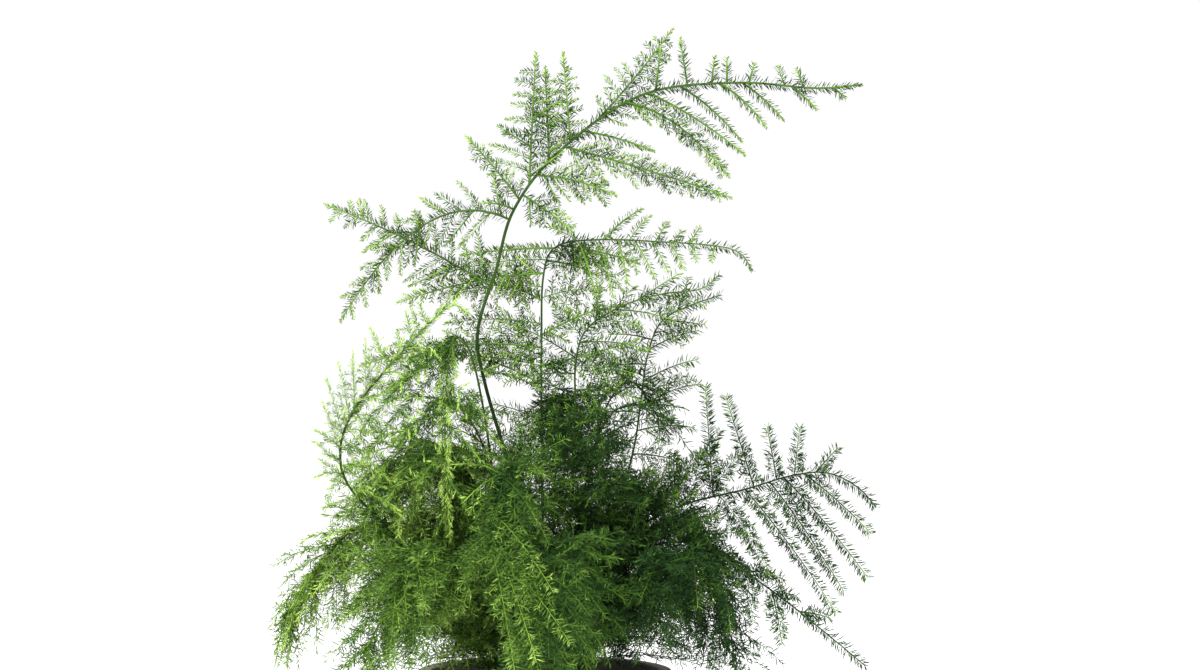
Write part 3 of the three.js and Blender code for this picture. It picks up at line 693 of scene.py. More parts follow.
def has_room(tip):
    """True where a tip keeps below the crown's top and near the box of the solid model."""
    low, high = (np.array(corner) / MM for corner in cad_box)
    inside = np.all(tip > low - BOX_SPARE) and np.all(tip < high + BOX_SPARE)
    return tip[2] < crown_top(tip[0]) and inside


def filling_spray(stem, index, k):
    """A fine spray of a mound frond, turned about the stem by a chance angle."""
    tier = stem.tier
    begin, end = (stem_place(stem, at) for at in FILL_PLACES)
    start = begin + (end - begin) * k / (fill_of(stem) - 1)
    root = stem.line.at(start)
    if root[2] > crown_top(root[0]) + CROWN_SPARE:
        return
    share = max(0, start / end - 0.25) / 0.75
    angle = math.radians(68 - 28 * share)
    length = tier["spray"] * (1 - tier["fade"] * share) * vary(0.62, 0.45, index, k, 12)
    side = 1 if k % 2 else -1
    for more_hang, shorter in FILL_TRIES:
        roll = max(-0.65, draw(index, k, 11) - tier["hang"] - more_hang)
        roll = math.radians(140 * roll)
        out = stem.sideways(start) * side * math.cos(roll) + stem.facing(start) * math.sin(roll)
        reach = stem.line.heading(start) * math.cos(angle) + out * math.sin(angle)
        tip = root + (reach - UP * FILL_DROOP) * length * shorter
        barbs = FILL_BARBS * tier["barbs"] * (1 - 0.5 * share)
        if not has_room(tip) or hides_plume(tip, root):
            continue
        if add_fine_twig(stem, start, tip, FILL_BOW, barbs=barbs):
            return


print("the crown's top at x 0 and 40:", crown_top(0), crown_top(40))

# %% [markdown]
# ## Sprays between, plumes and bright ends
#
# Most fronds that show one by one get a spray half-way between each two neighbouring sprays of
# their solid on the same side. The young fronds end in a plume, a close brush of short sprigs
# round the stem, brighter towards its tip. A few long young sprays hang their bright ends in front
# of the mound.

# %% Sprays between the sprays of the solid model
NO_SPRAYS_BETWEEN = ("frond_tall", "frond_right", "frond_hanging")


def sprays_between(stem, index):
    for side in (-1, 1):
        row = [t for t in stem.grown
               if np.dot(t.line.points[-1] - t.line.points[0], stem.sideways(t.start)) * side > 0]
        row.sort(key=lambda t: t.start)
        for k, (one, two) in enumerate(zip(row, row[1:])):
            if not 5 < two.start - one.start < 70:
                continue
            start = (one.start + two.start) / 2
            (a, b), (c, d) = (twig.line.points[[0, -1]] for twig in (one, two))
            reach = b - a + d - c
            lift = stem.facing(start) * 22 * (draw(index, k, 32) - 0.5)
            reach = reach / 2 * vary(0.7, 0.35, index, k, 31) + lift
            barbs = max(one.barbs, two.barbs)
            add_fine_twig(stem, start, stem.line.at(start) + reach, 0.1, barbs=barbs)


# %% Plumes and bright ends
# First and last place of the sprigs, their spacing, longest and shortest.
PLUMES = {"frond_hanging": (4.4, 7.95, 2.1, 14, 3.5), "frond_young": (4.2, 9.8, 5, 13, 6)}
# Place along the stem and tip of each long young spray.
BRIGHT_ENDS = {"frond_arch_5": [(3.7, 6, -132, 182), (4, 15, -143, 156), (3.95, -3, -141, 146),
                                (4, -14, -138, 137)]}
BRIGHT_END_BARBS, BRIGHT_END_FRESH = 10, 0.2


def plume_sprigs(stem, index, plume):
    first, last, step, longest, shortest = plume
    stem.fresh = 1.0
    begin, end = stem_place(stem, first), stem_place(stem, last)
    for k in range(int((end - begin) / step)):
        start = begin + step * k
        length = longest + (shortest - longest) * (start - begin) / (end - begin)
        length *= vary(0.8, 0.4, index, k, 21)
        angle = math.radians(vary(18, 14, index, k, 22))
        turn = math.radians(90 + 180 * k + 120 * (draw(index, k, 23) - 0.5))
        out = stem.sideways(start) * math.sin(turn) + stem.facing(start) * math.cos(turn)
        fresh = 0.25 + 0.6 * (start - begin) / (end - begin)
        add_fine_twig(stem, start, tip_of(stem, start, out, angle, length), 0.05, fresh=fresh)


print("plumes:", list(PLUMES), "bright ends:", sum(len(ends) for ends in BRIGHT_ENDS.values()))

# %% [markdown]
# ## Fine sprays placed one by one
#
# Where the photo shows dense lace and the rules leave a hole, a spray is listed, as a
# gardener would tie one in. Each is given by its place along the stem and by its tip.

# %% Fine sprays placed one by one
FINE_BARBS = {"frond_right": 10, "frond_mid_right": 10}
MOUND_BARBS, OTHER_BARBS = 18, 7
FINE_SPRAYS = {
    "frond_arch_1": [
        (2.6, 17, 4, 267), (2.4, 25, 20, 260), (2.8, 38, 4, 254), (2.7, 28, -8, 262),
        (3, 47, 6, 258), (2.8, 54, 14, 244), (2.5, 42, 26, 236), (3.1, 62, 8, 250),
        (2.2, 36, -4, 243), (3.2, 72, 20, 256), (3.4, 80, 30, 246), (3, 66, 24, 238),
        (2.6, 58, 10, 228), (3.5, 86, 14, 238)],
    "frond_arch_2": [
        (2.5, -9, 10, 266), (2.3, -3, 30, 266), (2.5, -17, 24, 262), (2.6, 4, 6, 268)],
    "frond_arch_3": [
        (2.3, -24, 6, 262), (2.4, -14, 20, 265), (2.6, -34, 0, 258), (2.8, -46, 4, 262),
        (3.2, -88, 36, 262), (3.4, -100, 20, 248)],
    "frond_arch_4": [
        (2.2, -44, -46, 226), (2.4, -40, -47, 206), (2.5, -56, -47, 212), (2.7, -52, -44, 238),
        (2.8, -66, -46, 226), (3, -72, -46, 212), (3.2, -80, -44, 204), (3.4, -64, -45, 200),
        (2.6, -34, -42, 244), (2.3, -50, -38, 192), (3.3, -104, -20, 240), (3.1, -92, -36, 250),
        (3.5, -112, -10, 228), (2.9, -84, -30, 262), (3.2, -76, -4, 266), (3.6, -116, 8, 236)],
    "frond_arch_5": [
        (2.5, -14, -46, 266), (2.4, -28, -24, 256), (2.3, -12, -20, 265), (2.6, -34, -36, 250),
        (2.5, -6, -36, 262), (2.7, -20, -44, 254), (2.8, -2, -54, 250), (2.2, -34, -20, 240),
        (2.3, -22, -38, 244)],
    "frond_arch_6": [
        (2.5, 12, -22, 267), (2.4, 4, -30, 265), (2.6, 21, -8, 264), (2.8, 40, -24, 250),
        (2.5, 46, -36, 238), (2.8, 54, -44, 250), (2.6, 36, -14, 261), (3, 60, -30, 236),
        (2.2, 30, -48, 234), (2.4, 48, -10, 226), (2.3, -10, -34, 258), (2.2, -16, -24, 250),
        (3.2, 74, -50, 252), (3, 68, -44, 238), (2.7, 60, -30, 226), (3.4, 84, -48, 240),
        (2.9, 76, -36, 226)],
    "frond_skirt_1": [(2.6, 76, 8, 218), (3, 92, 10, 222), (2.3, 64, 20, 214), (2.8, 84, 30, 214)],
    "frond_skirt_5": [
        (2.6, -60, -96, 150), (2.9, -70, -108, 140), (2.4, -52, -84, 158), (3.1, -62, -112, 138),
        (3.3, -82, -114, 140)],
    "frond_skirt_6": [
        (2.6, 26, -96, 150), (2.9, 36, -100, 140), (3.2, 24, -112, 138), (2.3, 34, -84, 164),
        (2.1, 44, -72, 172), (2.8, 46, -90, 152)],
    "frond_skirt_7": [
        (2.6, 74, -40, 206), (3, 92, -30, 206), (2.3, 62, -34, 204), (2.8, 86, -48, 200),
        (2.3, 46, -66, 168), (2.6, 56, -74, 154), (2.9, 66, -72, 142), (3.2, 74, -66, 134),
        (2.1, 40, -70, 152), (2.5, 50, -84, 138), (2.8, 72, -54, 160), (2.2, 62, -50, 164),
        (2.7, 60, -40, 148), (3, 78, -44, 146), (2.4, 60, -62, 140), (2.8, 69, -60, 150),
        (2.6, 71, -46, 138), (3.1, 66, -84, 146)],
    "frond_hanging": [
        (4.6, -100, -58, 262), (5.1, -99, -64, 246), (5.6, -92, -68, 234), (4.2, -76, -50, 296),
        (6.2, -86, -74, 224), (5.6, -22, -66, 254), (3.6, -88, -30, 276)],
    "frond_young": [
        (2.2, -74, -52, 198), (3.1, -76, -50, 214), (4.3, -84, -46, 234), (5, -78, -48, 254),
        (5.9, -62, -48, 276), (3.4, -120, -50, 218), (3.9, -122, -38, 278), (4.4, -120, -34, 290),
        (4.9, -113, -38, 299), (3.2, -124, -40, 246), (3.6, -127, -40, 256), (2.7, -116, -44, 222),
        (5.6, -98, -42, 312), (3, -118, -30, 234), (4, -94, -46, 262), (5, -82, -40, 286),
        (3.4, -96, -50, 244), (2.9, -94, -50, 228)],
    "frond_right": [
        (1.2, 56, -20, 238), (1.4, 66, 0, 230), (1.7, 44, -30, 246), (1.9, 74, -24, 226),
        (2.1, 62, -30, 238), (2.5, 88, -28, 250), (2.8, 92, -36, 198), (3.1, 98, 14, 258),
        (3.6, 124, -40, 182), (2.7, 60, 20, 228), (3.4, 110, -10, 248)],
    "frond_low_right": [
        (1.6, 56, -46, 224), (1.9, 84, -40, 228), (2.4, 96, -46, 216), (2.8, 112, -50, 206)],
    "frond_mid_right": [
        (1.1, 62, -6, 222), (1.4, 60, 30, 238), (1.6, 72, 8, 236), (1.2, 30, -14, 240),
        (1.8, 76, 4, 222), (2.3, 96, 12, 246), (2.2, 24, 0, 246), (3.6, 22, 14, 300)],
}
print("fine sprays placed by hand:", sum(len(tips) for tips in FINE_SPRAYS.values()))

# %% [markdown]
# ## Grow all the finer twigs
#
# The order matters, because a later spray is placed by what has grown before it. Each spray then
# gets its side twigs. The longer they are, the further they stand apart, and on upright sprays
# they stand closer.

# %% Grow the finer twigs
FINE_STEP, MOUND_STEP, LACE_STEP = 2.8, 4.4, 6
MOUND_LOOSE, LACE_LONGER, LACE_THINNED = 1.4, 1.2, 0.95
# Side twigs of every spray are at least this long.
BUSHY = {"frond_tall": 0, "frond_level": 0, "frond_mid_right": 5, "frond_reach": 5,
         "frond_young": 10, "frond_hanging": 6, "frond_right": 6, "frond_low_right": 9}
# The tall frond's long feathers and its short ones: spacing, looseness, turn and length.
TALL_LONGEST, TALL_LONG, TALL_SHORT = 20, (1.25, 0.4, -12, 0.9), (3.1, 0.4, -14, 1.25)


def feather(spray, name, tier):
    """Gives a spray its fine side twigs."""
    tip = spray.line.points[-1]
    upright = max(0, unit(tip - spray.line.points[0])[2])
    apart = max(FINE_STEP, 0.16 * spray.barbs * (1 - 0.45 * upright))
    if tier and tip[0] > lace_begins(tip[2]):
        add_fine_side_twigs(spray, LACE_STEP, MOUND_LOOSE, longer=LACE_LONGER)
        for twig in [spray, *spray.grown]:
            twig.thinned = LACE_THINNED
    elif tier:
        add_fine_side_twigs(spray, MOUND_STEP, MOUND_LOOSE)
    elif name != "frond_tall":
        add_fine_side_twigs(spray, apart, 0.5)
    elif spray.barbs < TALL_LONGEST:
        add_fine_side_twigs(spray, *TALL_SHORT)
    else:
        add_fine_side_twigs(spray, apart * TALL_LONG[0], *TALL_LONG[1:])


for index, (name, stem) in enumerate(stems.items()):
    stem.number, tier = index, stem.tier
    for k in range(fill_of(stem) if tier else 0):
        filling_spray(stem, index, k)
    for at, *tip in BRIGHT_ENDS.get(name, []):
        add_fine_twig(stem, stem_place(stem, at), tip, 0.1, 1, BRIGHT_END_BARBS, BRIGHT_END_FRESH)
    if name in BUSHY:
        for spray in stem.grown:
            spray.barbs = max(spray.barbs, BUSHY[name])
        if name not in NO_SPRAYS_BETWEEN:
            sprays_between(stem, index)
    barbs = MOUND_BARBS if tier else FINE_BARBS.get(name, OTHER_BARBS)
    for at, *tip in FINE_SPRAYS.get(name, []):
        add_fine_twig(stem, stem_place(stem, at), tip, 0.12, barbs=barbs)
    if name in PLUMES:
        plume_sprigs(stem, index, PLUMES[name])
    for spray in list(stem.grown):
        if spray.barbs:
            feather(spray, name, tier)
fine = [1 + len(spray.grown) for stem in stems.values() for spray in stem.grown]
print("sprays and side twigs with the finer ones:", sum(fine))

# %% [markdown]
# ## Tubes for the twigs
#
# A stem or twig is a long thin tapered tube. A curve with a round bevel and a radius at every
# point gives that in one step, and many twigs can share one curve. It is then turned into a
# mesh, and its open ends are filled. Each ring of the mesh gets a number from 0, old and dark,
# to 1, young and bright, because the real twigs turn from dark green to yellow green towards
# their tips. On the mound the number also carries painted shade: it is lower on fronds towards
# the right, away from the lamp, and bright ends are dimmer there.

# %% How young each place on a twig is, and painted shade on the mound
LONGEST_YOUNG_END = 45
# How much the side twigs of a frond differ, as young shoots among older, darker ones.
MIXED = {"frond_young": 0.7, "frond_hanging": 0.75, "frond_tall": 0.3, "frond_level": 0.35,
         "frond_reach": 0.25}
SHOOTS, SHOOT_MORE, SHOOT_LESS = 0.45, 0.6, -0.35
for name, mixed in MIXED.items():
    stems[name].mixed = mixed


def near_tip(twig, s, share=0.3):
    """1 at the tip of a twig, and less and less back along its young end."""
    young_end = min(LONGEST_YOUNG_END * share, max(3, share * twig.line.length))
    return np.exp(-(twig.line.length - s) / young_end)


def shoot_of(twig):
    """Above 0 for a side twig that is a young shoot, and below 0 for an older one."""
    if twig.level < 2:
        return 0
    lively = draw(twig.parent.number, round(10 * twig.start), 40) < SHOOTS
    return twig.parent.parent.mixed * (SHOOT_MORE if lively else SHOOT_LESS)


def youth_and_painted_shade_of(twig, s, tone):
    """0 for an old, dark place on a twig and 1 for the youngest tip. On the mound it also holds
    painted shade, lower on fronds and ends towards the right.
    """
    if twig.level == 0:
        youngest = 0.5 * tone if twig.tier else min(0.26, tone)
        bright = 0.6 if twig.fresh else 0
        share = np.clip(s / twig.line.length, 0, 1)
        return youngest * share**2 + bright * near_tip(twig, s, 0.6)
    spray = twig if twig.level == 1 else twig.parent
    bright = 0.45
    if spray.parent.tier:
        # Painted light: bright ends vary by chance, and are brighter on sprays to the left,
        # towards the lamp.
        lively = min(1, max(0.1, 0.5 - 0.006 * spray.line.points[-1][0]))
        bright = max(0.12 + 0.7 * lively * draw(spray.number, 2) ** 2, 2.4 * spray.fresh)
    young = near_tip(twig, s)
    if twig.level == 2:
        young = 0.6 * young + 0.6 * np.exp(-(spray.line.length - twig.start) / 12)
    return np.clip(tone + spray.fresh + shoot_of(twig) + bright * young, 0, 1)


print("fronds with mixed side twigs:", len(MIXED))

# %% Tubes along twigs
def deselect_all():
    for o in bpy.context.selected_objects:
        o.select_set(False)


def choose(*objects):
    deselect_all()
    for o in objects:
        o.select_set(True)
    bpy.context.view_layer.objects.active = objects[0]


def add_object(name, data):
    made = bpy.data.objects.new(name, data)
    bpy.context.scene.collection.objects.link(made)
    return made


def add_youth_and_painted_shade(mesh, values):
    layer = mesh.attributes.new("youth_and_painted_shade", "FLOAT", "POINT")
    layer.data.foreach_set("value", values.astype(np.float32))


def make_tubes(name, twigs, step, resolution, slim, tone):
    """One mesh of tubes with a ring at every step, slimmer than the twigs' own girth."""
    curve = bpy.data.curves.new(name, "CURVE")
    curve.dimensions = "3D"
    curve.bevel_depth = MM
    curve.bevel_resolution = resolution
    youth_and_painted_shade = []
    for twig in twigs:
        rings = math.ceil(twig.line.length / step) + 1
        cuts = np.linspace(0, twig.line.length, rings)
        points = np.c_[twig.line.at(cuts) * MM, np.ones(rings)]
        spline = curve.splines.new("POLY")
        spline.points.add(rings - 1)
        spline.points.foreach_set("co", points.ravel())
        spline.points.foreach_set("radius", twig.girth(cuts) * slim)
        youth_and_painted_shade.append(youth_and_painted_shade_of(twig, cuts, tone))
    choose(add_object(name, curve))
    bpy.ops.object.convert(target="MESH")
    tubes = bpy.context.object
    youth_and_painted_shade = np.concatenate(youth_and_painted_shade)
    add_youth_and_painted_shade(tubes.data, np.repeat(youth_and_painted_shade, len(tubes.data.vertices) // len(youth_and_painted_shade)))
    bpy.ops.object.mode_set(mode="EDIT")
    bpy.ops.mesh.select_all(action="SELECT")
    bpy.ops.mesh.fill_holes(sides=0)
    bpy.ops.object.mode_set(mode="OBJECT")
    return tubes


print("a stem's youth at its foot:", youth_and_painted_shade_of(stems["frond_tall"], 0, 0.5))

# %% [markdown]
# ## Needles
#
# One needle is a slim three-sided spike. It is modelled once with a cone of three sides, and its
# few points are then copied to every place where a needle grows, turned along the needle's
# direction and stretched to its length. They stand all round a twig, most of them to its two
# sides, and lean forward more and more towards its tip.

# %% One needle
# Of the cone's three lower corners one goes to the middle and down, as the needle's root. The
# other two go a little down and up, so that a needle looks slightly bent.
BENDS = ((lambda v: v.co.y > 0.9, (0, -1, -0.4)), (lambda v: v.co.x > 0.5, (0, 0, -0.15)),
         (lambda v: v.co.x < -0.5, (0, 0, 0.2)))
deselect_all()
bpy.ops.mesh.primitive_cone_add(
    vertices=3, radius1=1, radius2=0, depth=0.6, location=(0, 0, 0.7), end_fill_type="NGON")
pattern = bpy.context.object
bpy.ops.object.transform_apply(location=True, rotation=True, scale=True)
bpy.ops.object.mode_set(mode="EDIT")
shape = bmesh.from_edit_mesh(pattern.data)
for is_chosen, move in BENDS:
    for v in shape.verts:
        v.select_set(is_chosen(v))
    shape.select_flush_mode()
    bpy.ops.transform.translate(value=move)
bpy.ops.object.mode_set(mode="OBJECT")
NEEDLE_POINTS = np.array([v.co for v in pattern.data.vertices])
NEEDLE_FACES = [tuple(f.vertices) for f in pattern.data.polygons]
bpy.data.objects.remove(pattern)
print("one needle has", len(NEEDLE_POINTS), "points and", len(NEEDLE_FACES), "faces, from",
      NEEDLE_POINTS[:, 2].min().round(2), "to", NEEDLE_POINTS[:, 2].max().round(2))

# %% Where the needles of a twig grow
NEEDLE_LENGTH, PITCH = 6.4, 0.58
# A stem is bare up to this share of its length, in the mound and on a frond that stands free.
BARE_MOUND_STEM, BARE_STEM = 0.35, 0.66
NEEDLE_FIRST, NEEDLE_LAST = 1.2, 0.4
NEEDLE_SLANT, SLANT_AT_TIP = 56, 45
rng = np.random.default_rng(11)


def needle_rows(twig, tone, dense, long, small, spread, bare, cut):
    """Root, direction, length, and the number for age and painted shade, of each needle on a twig.
    """
    bare_stem = BARE_MOUND_STEM if twig.level == 0 and twig.tier else BARE_STEM
    first = NEEDLE_FIRST if twig.level else bare_stem * twig.line.length
    last = twig.line.length - NEEDLE_LAST
    count = int((last - first) / PITCH * dense * twig.thinned)
    if count < 1:
        return np.zeros((0, 8))
    s = np.linspace(first, last, count) + rng.uniform(-0.3, 0.3, count) * PITCH
    s = np.clip(s, first, last)
    side = np.where(np.arange(count) % 2, 0, math.pi)
    anywhere = rng.uniform(0, 2 * math.pi, count)
    turn = np.where(np.arange(count) % 4 == 3, anywhere, side + rng.normal(0, 0.4, count))
    young, shoot = near_tip(twig, s, bare), shoot_of(twig)
    slant = spread * (1 - 0.6 * shoot) * (NEEDLE_SLANT - SLANT_AT_TIP * cut * young)
    slant = np.radians(slant + rng.normal(0, 10, count))
    radial = twig.sideways(s) * np.cos(turn)[:, None] + twig.facing(s) * np.sin(turn)[:, None]
    ahead = twig.line.heading(s) * np.cos(slant)[:, None] + radial * np.sin(slant)[:, None]
    length = NEEDLE_LENGTH * long * (1 - cut * young) * rng.uniform(0.72, 1.12, count)
    if twig.level == 2:
        length *= small * (1 - shoot)
    root = twig.line.at(s) + radial * twig.girth(s)[:, None] * 0.2
    youth_and_painted_shade = youth_and_painted_shade_of(twig, s, tone) - 0.08 + rng.normal(0, 0.11, count)
    return np.c_[root, ahead, length, youth_and_painted_shade]


def plant_needles(name, rows, girth):
    """One mesh with a copy of the needle in every row's place."""
    count, n = len(rows), len(NEEDLE_POINTS)
    root, direction, length, youth_and_painted_shade = rows[:, :3], unit(rows[:, 3:6]), rows[:, 6], rows[:, 7]
    upright = np.abs(direction[:, 2:3]) > 0.9
    across = unit(np.cross(direction, np.where(upright, [[1.0, 0, 0]], [[0, 0, 1.0]])))
    third = np.cross(direction, across)
    turn = rng.uniform(0, 2 * math.pi, count)[:, None]
    first_axis = across * np.cos(turn) + third * np.sin(turn)
    second_axis = np.cross(direction, first_axis)
    x, y, z = (NEEDLE_POINTS[:, k] for k in range(3))
    points = (
        root[:, None]
        + first_axis[:, None] * (x * girth)[None, :, None]
        + second_axis[:, None] * (y * girth)[None, :, None]
        + direction[:, None] * z[None, :, None] * length[:, None, None]
    )
    offsets = np.arange(count)[:, None] * n
    faces = np.concatenate([offsets + np.array(f)[None] for f in NEEDLE_FACES], axis=0)
    mesh = bpy.data.meshes.new(name)
    mesh.from_pydata((points * MM).reshape(-1, 3), [], faces)
    # A needle is a little brighter at its root and darker at its point, but not on young shoots.
    fade = np.clip((0.8 - youth_and_painted_shade) / 0.3, 0, 1)[:, None]
    along = youth_and_painted_shade[:, None] + (0.06 * (z < 0.2) - 0.22 * (z > 0.9)) * fade
    add_youth_and_painted_shade(mesh, np.clip(along, 0, 1).ravel())
    return add_object(name, mesh)


# %% [markdown]
# ## Materials of the foliage
#
# The needles run from a deep blue green on old fronds to a yellow green on young tips, so their
# colour follows the number for age and painted shade through a ramp. A patch of slow noise keeps
# neighbours from looking alike. The twigs follow the same number from near black green to bright
# green.

# %% Shared effect: slow patches of light and dark
PATCH_DETAIL, NOISE_LOW, NOISE_HIGH = 3, 0.3, 0.7
SHEEN = 0.04


def wire(links, *pairs):
    """Links an output of one node to an input of another, for each pair."""
    for source, output, target, into in pairs:
        links.new(source.outputs[output], target.inputs[into])


def make_patches_group():
    group = bpy.data.node_groups.new("patches", "ShaderNodeTree")
    for name, way in {"Size": "INPUT", "Low": "INPUT", "High": "INPUT", "Value": "OUTPUT"}.items():
        group.interface.new_socket(name, in_out=way, socket_type="NodeSocketFloat")
    nodes, links = group.nodes, group.links
    inside, outside = nodes.new("NodeGroupInput"), nodes.new("NodeGroupOutput")
    coordinate, noise = nodes.new("ShaderNodeTexCoord"), nodes.new("ShaderNodeTexNoise")
    spread = nodes.new("ShaderNodeMapRange")
    noise.inputs["Detail"].default_value = PATCH_DETAIL
    spread.inputs["From Min"].default_value = NOISE_LOW
    spread.inputs["From Max"].default_value = NOISE_HIGH
    wire(links, (coordinate, "Object", noise, "Vector"), (inside, "Size", noise, "Scale"),
         (noise, "Fac", spread, "Value"), (inside, "Low", spread, "To Min"),
         (inside, "High", spread, "To Max"), (spread, "Result", outside, "Value"))
    return group


patches_group = make_patches_group()


def new_material(name, roughness):
    material = bpy.data.materials.new(name)
    material.use_nodes = True
    shader = material.node_tree.nodes["Principled BSDF"]
    shader.inputs["Roughness"].default_value = roughness
    shader.inputs["Specular IOR Level"].default_value = SHEEN
    return material, material.node_tree.nodes, material.node_tree.links, shader


def add_patches(nodes, size, low, high):
    node = nodes.new("ShaderNodeGroup")
    node.node_tree = patches_group
    for socket, value in (("Size", size), ("Low", low), ("High", high)):
        node.inputs[socket].default_value = value
    return node


def ramp_of(nodes, stops):
    ramp = nodes.new("ShaderNodeValToRGB")
    elements = ramp.color_ramp.elements
    while len(elements) < len(stops):
        elements.new(0.5)
    for element, (place, color) in zip(elements, stops):
        element.position, element.color = place, (*color, 1)
    return ramp


print("inputs of the patches:", len(patches_group.interface.items_tree) - 1)

# %% Needle and twig materials
LEAF_PATCH, PATCH_DEPTH = 45, 0.07


def foliage_material(name, stops, roughness):
    material, nodes, links, shader = new_material(name, roughness)
    youth_and_painted_shade = nodes.new("ShaderNodeAttribute")
    youth_and_painted_shade.attribute_name = "youth_and_painted_shade"
    patches = add_patches(nodes, LEAF_PATCH, -PATCH_DEPTH, PATCH_DEPTH)
    add = nodes.new("ShaderNodeMath")
    add.operation = "ADD"
    ramp = ramp_of(nodes, stops)
    wire(links, (youth_and_painted_shade, "Fac", add, 0), (patches, "Value", add, 1), (add, "Value", ramp, "Fac"),
         (ramp, "Color", shader, "Base Color"))
    return material


needle_green = foliage_material("needle_green", [
    (0.0, (0.013, 0.039, 0.013)), (0.3, (0.038, 0.088, 0.014)), (0.55, (0.118, 0.215, 0.034)),
    (0.8, (0.228, 0.368, 0.074)), (1.0, (0.425, 0.625, 0.125))], 0.7)
twig_green = foliage_material("twig_green", [
    (0.0, (0.006, 0.017, 0.004)), (0.15, (0.028, 0.060, 0.010)), (0.35, (0.078, 0.170, 0.018)),
    (0.8, (0.225, 0.370, 0.046)), (1.0, (0.375, 0.540, 0.110))], 0.6)
print("materials:", needle_green.name, twig_green.name)

# %% [markdown]
# ## Dress every frond
#
# A frond is one piece: the tube of its stem, the tubes of its sprays and side twigs, and its
# needles, joined. Old fronds on the right are dark and have long needles that stand off. Young
# ones on the left are bright and have short needles that lie close. Each frond has its own row of
# numbers for that, and the mound's fronds share one. The mound's tone also falls towards the
# right as painted shade, away from the lamp on the left.

# %% Tones and needles of the fronds
TONES = {"frond_tall": 0.34, "frond_level": 0.47, "frond_young": 0.64, "frond_hanging": 0.36,
         "frond_right": 0.08, "frond_low_right": 0.10, "frond_mid_right": 0.22,
         "frond_reach": 0.28}
DARKER_SPRAYS, DARKEST_SPRAYS, BRIGHTER_TWIGS = 0.12, 0.075, 0.04
# How thick the stem, and the sprays and side twigs, are against the solid model.
SLIM = {"frond_tall": (1, 0.85), "frond_level": (0.72, 0.8), "frond_young": (0.9, 0.5),
        "frond_hanging": (0.72, 0.5)}
USUAL_SLIM = (0.72, 0.6)
# Number, length, length on side twigs and spread of the needles, against a mean, the share of a
# twig at its tip where they lie close, how much shorter they are there, and their half thickness.
NEEDLING = {"frond_tall": (1.5, 0.82, 0.88, 1.05, 0.2, 0.7, 0.42),
            "frond_level": (1.35, 0.75, 0.75, 1.1, 0.2, 0.6, 0.45),
            "frond_young": (1.5, 0.55, 0.85, 0.8, 0.2, 0.5, 0.34),
            "frond_hanging": (1.8, 0.64, 0.9, 0.75, 0.14, 0.5, 0.34),
            "frond_right": (2.2, 0.92, 0.8, 1.15, 0.1, 0.25, 0.42),
            "frond_low_right": (2, 1, 0.8, 1.15, 0.1, 0.25, 0.42),
            "frond_mid_right": (1.2, 0.9, 0.8, 1.15, 0.1, 0.3, 0.42),
            "frond_reach": (1.3, 0.85, 0.8, 1.1, 0.12, 0.4, 0.44)}
MOUND_NEEDLING = (0.84, 1, 0.88, 1.15, 0.1, 0.35, 0.42)
# How far the rings of a tube stand apart.
STEM_RING, TWIG_RING, SPRAY_RING, MOUND_SPRAY_RING = 5, 40, 6, 9


def mound_tone_with_painted_shade(stem):
    """The mound gets darker to the right, as painted shade away from the lamp on the left, with a
    chance tone on top.
    """
    return 0.265 - 0.0019 * stem.line.points[-1][0] + 0.05 * draw(stem.number, 3)


print("fronds with their own tone:", len(TONES))

# %% Dress every frond
def dress_frond(name, stem):
    # Painted shade: a mound frond's tone falls towards the right, away from the lamp.
    tone = TONES.get(name, mound_tone_with_painted_shade(stem))
    stem_slim, twig_slim = SLIM.get(name, USUAL_SLIM)
    spray_tone = max(DARKEST_SPRAYS, tone - DARKER_SPRAYS)
    twig_tone = spray_tone if stem.tier else tone + BRIGHTER_TWIGS
    spray_ring = MOUND_SPRAY_RING if stem.tier else SPRAY_RING
    sprays = stem.grown
    side_twigs = [t for spray in sprays for t in spray.grown]
    parts = [make_tubes(name + "_stem", [stem], STEM_RING, 2, stem_slim, tone),
             make_tubes(name + "_sprays", sprays, spray_ring, 0, twig_slim, spray_tone)]
    if side_twigs:
        parts.append(make_tubes(name + "_twigs", side_twigs, TWIG_RING, 0, twig_slim, twig_tone))
    for part in parts:
        part.data.materials.append(twig_green)
    *needling, girth = NEEDLING.get(name, MOUND_NEEDLING)
    twigs = [stem, *sprays, *side_twigs]
    rows = np.concatenate([needle_rows(t, tone, *needling) for t in twigs])
    needles = plant_needles("fine_" + name, rows, girth)
    needles.data.materials.append(needle_green)
    choose(needles, *parts)
    bpy.ops.object.join()
    bpy.ops.object.shade_smooth()
    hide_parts(name)
    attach(needles, "root")
    triangles = sum(len(f.vertices) - 2 for f in needles.data.polygons)
    print(name, "twigs", len(twigs), "needles", len(rows), "triangles", triangles)
    return triangles


triangles = 0
for name, stem in stems.items():
    triangles += dress_frond(name, stem)
print("triangles in all fronds:", triangles)

# %% [markdown]
# ## The pot
#
# A thrown or moulded pot is a ring drawn up and turned over at the rim. It could be spun from an
# outline, but drawing a disc up ring by ring is as short and keeps every size in view. A bevel
# then softens its edges, as on the real thing.

# %% Draw the pot up from a disc
POT_SIDES, POT_BEVEL, BEVEL_SEGMENTS = 96, 1.2, 3
BEVEL_FROM, SMOOTH_TO = math.radians(40), math.radians(35)


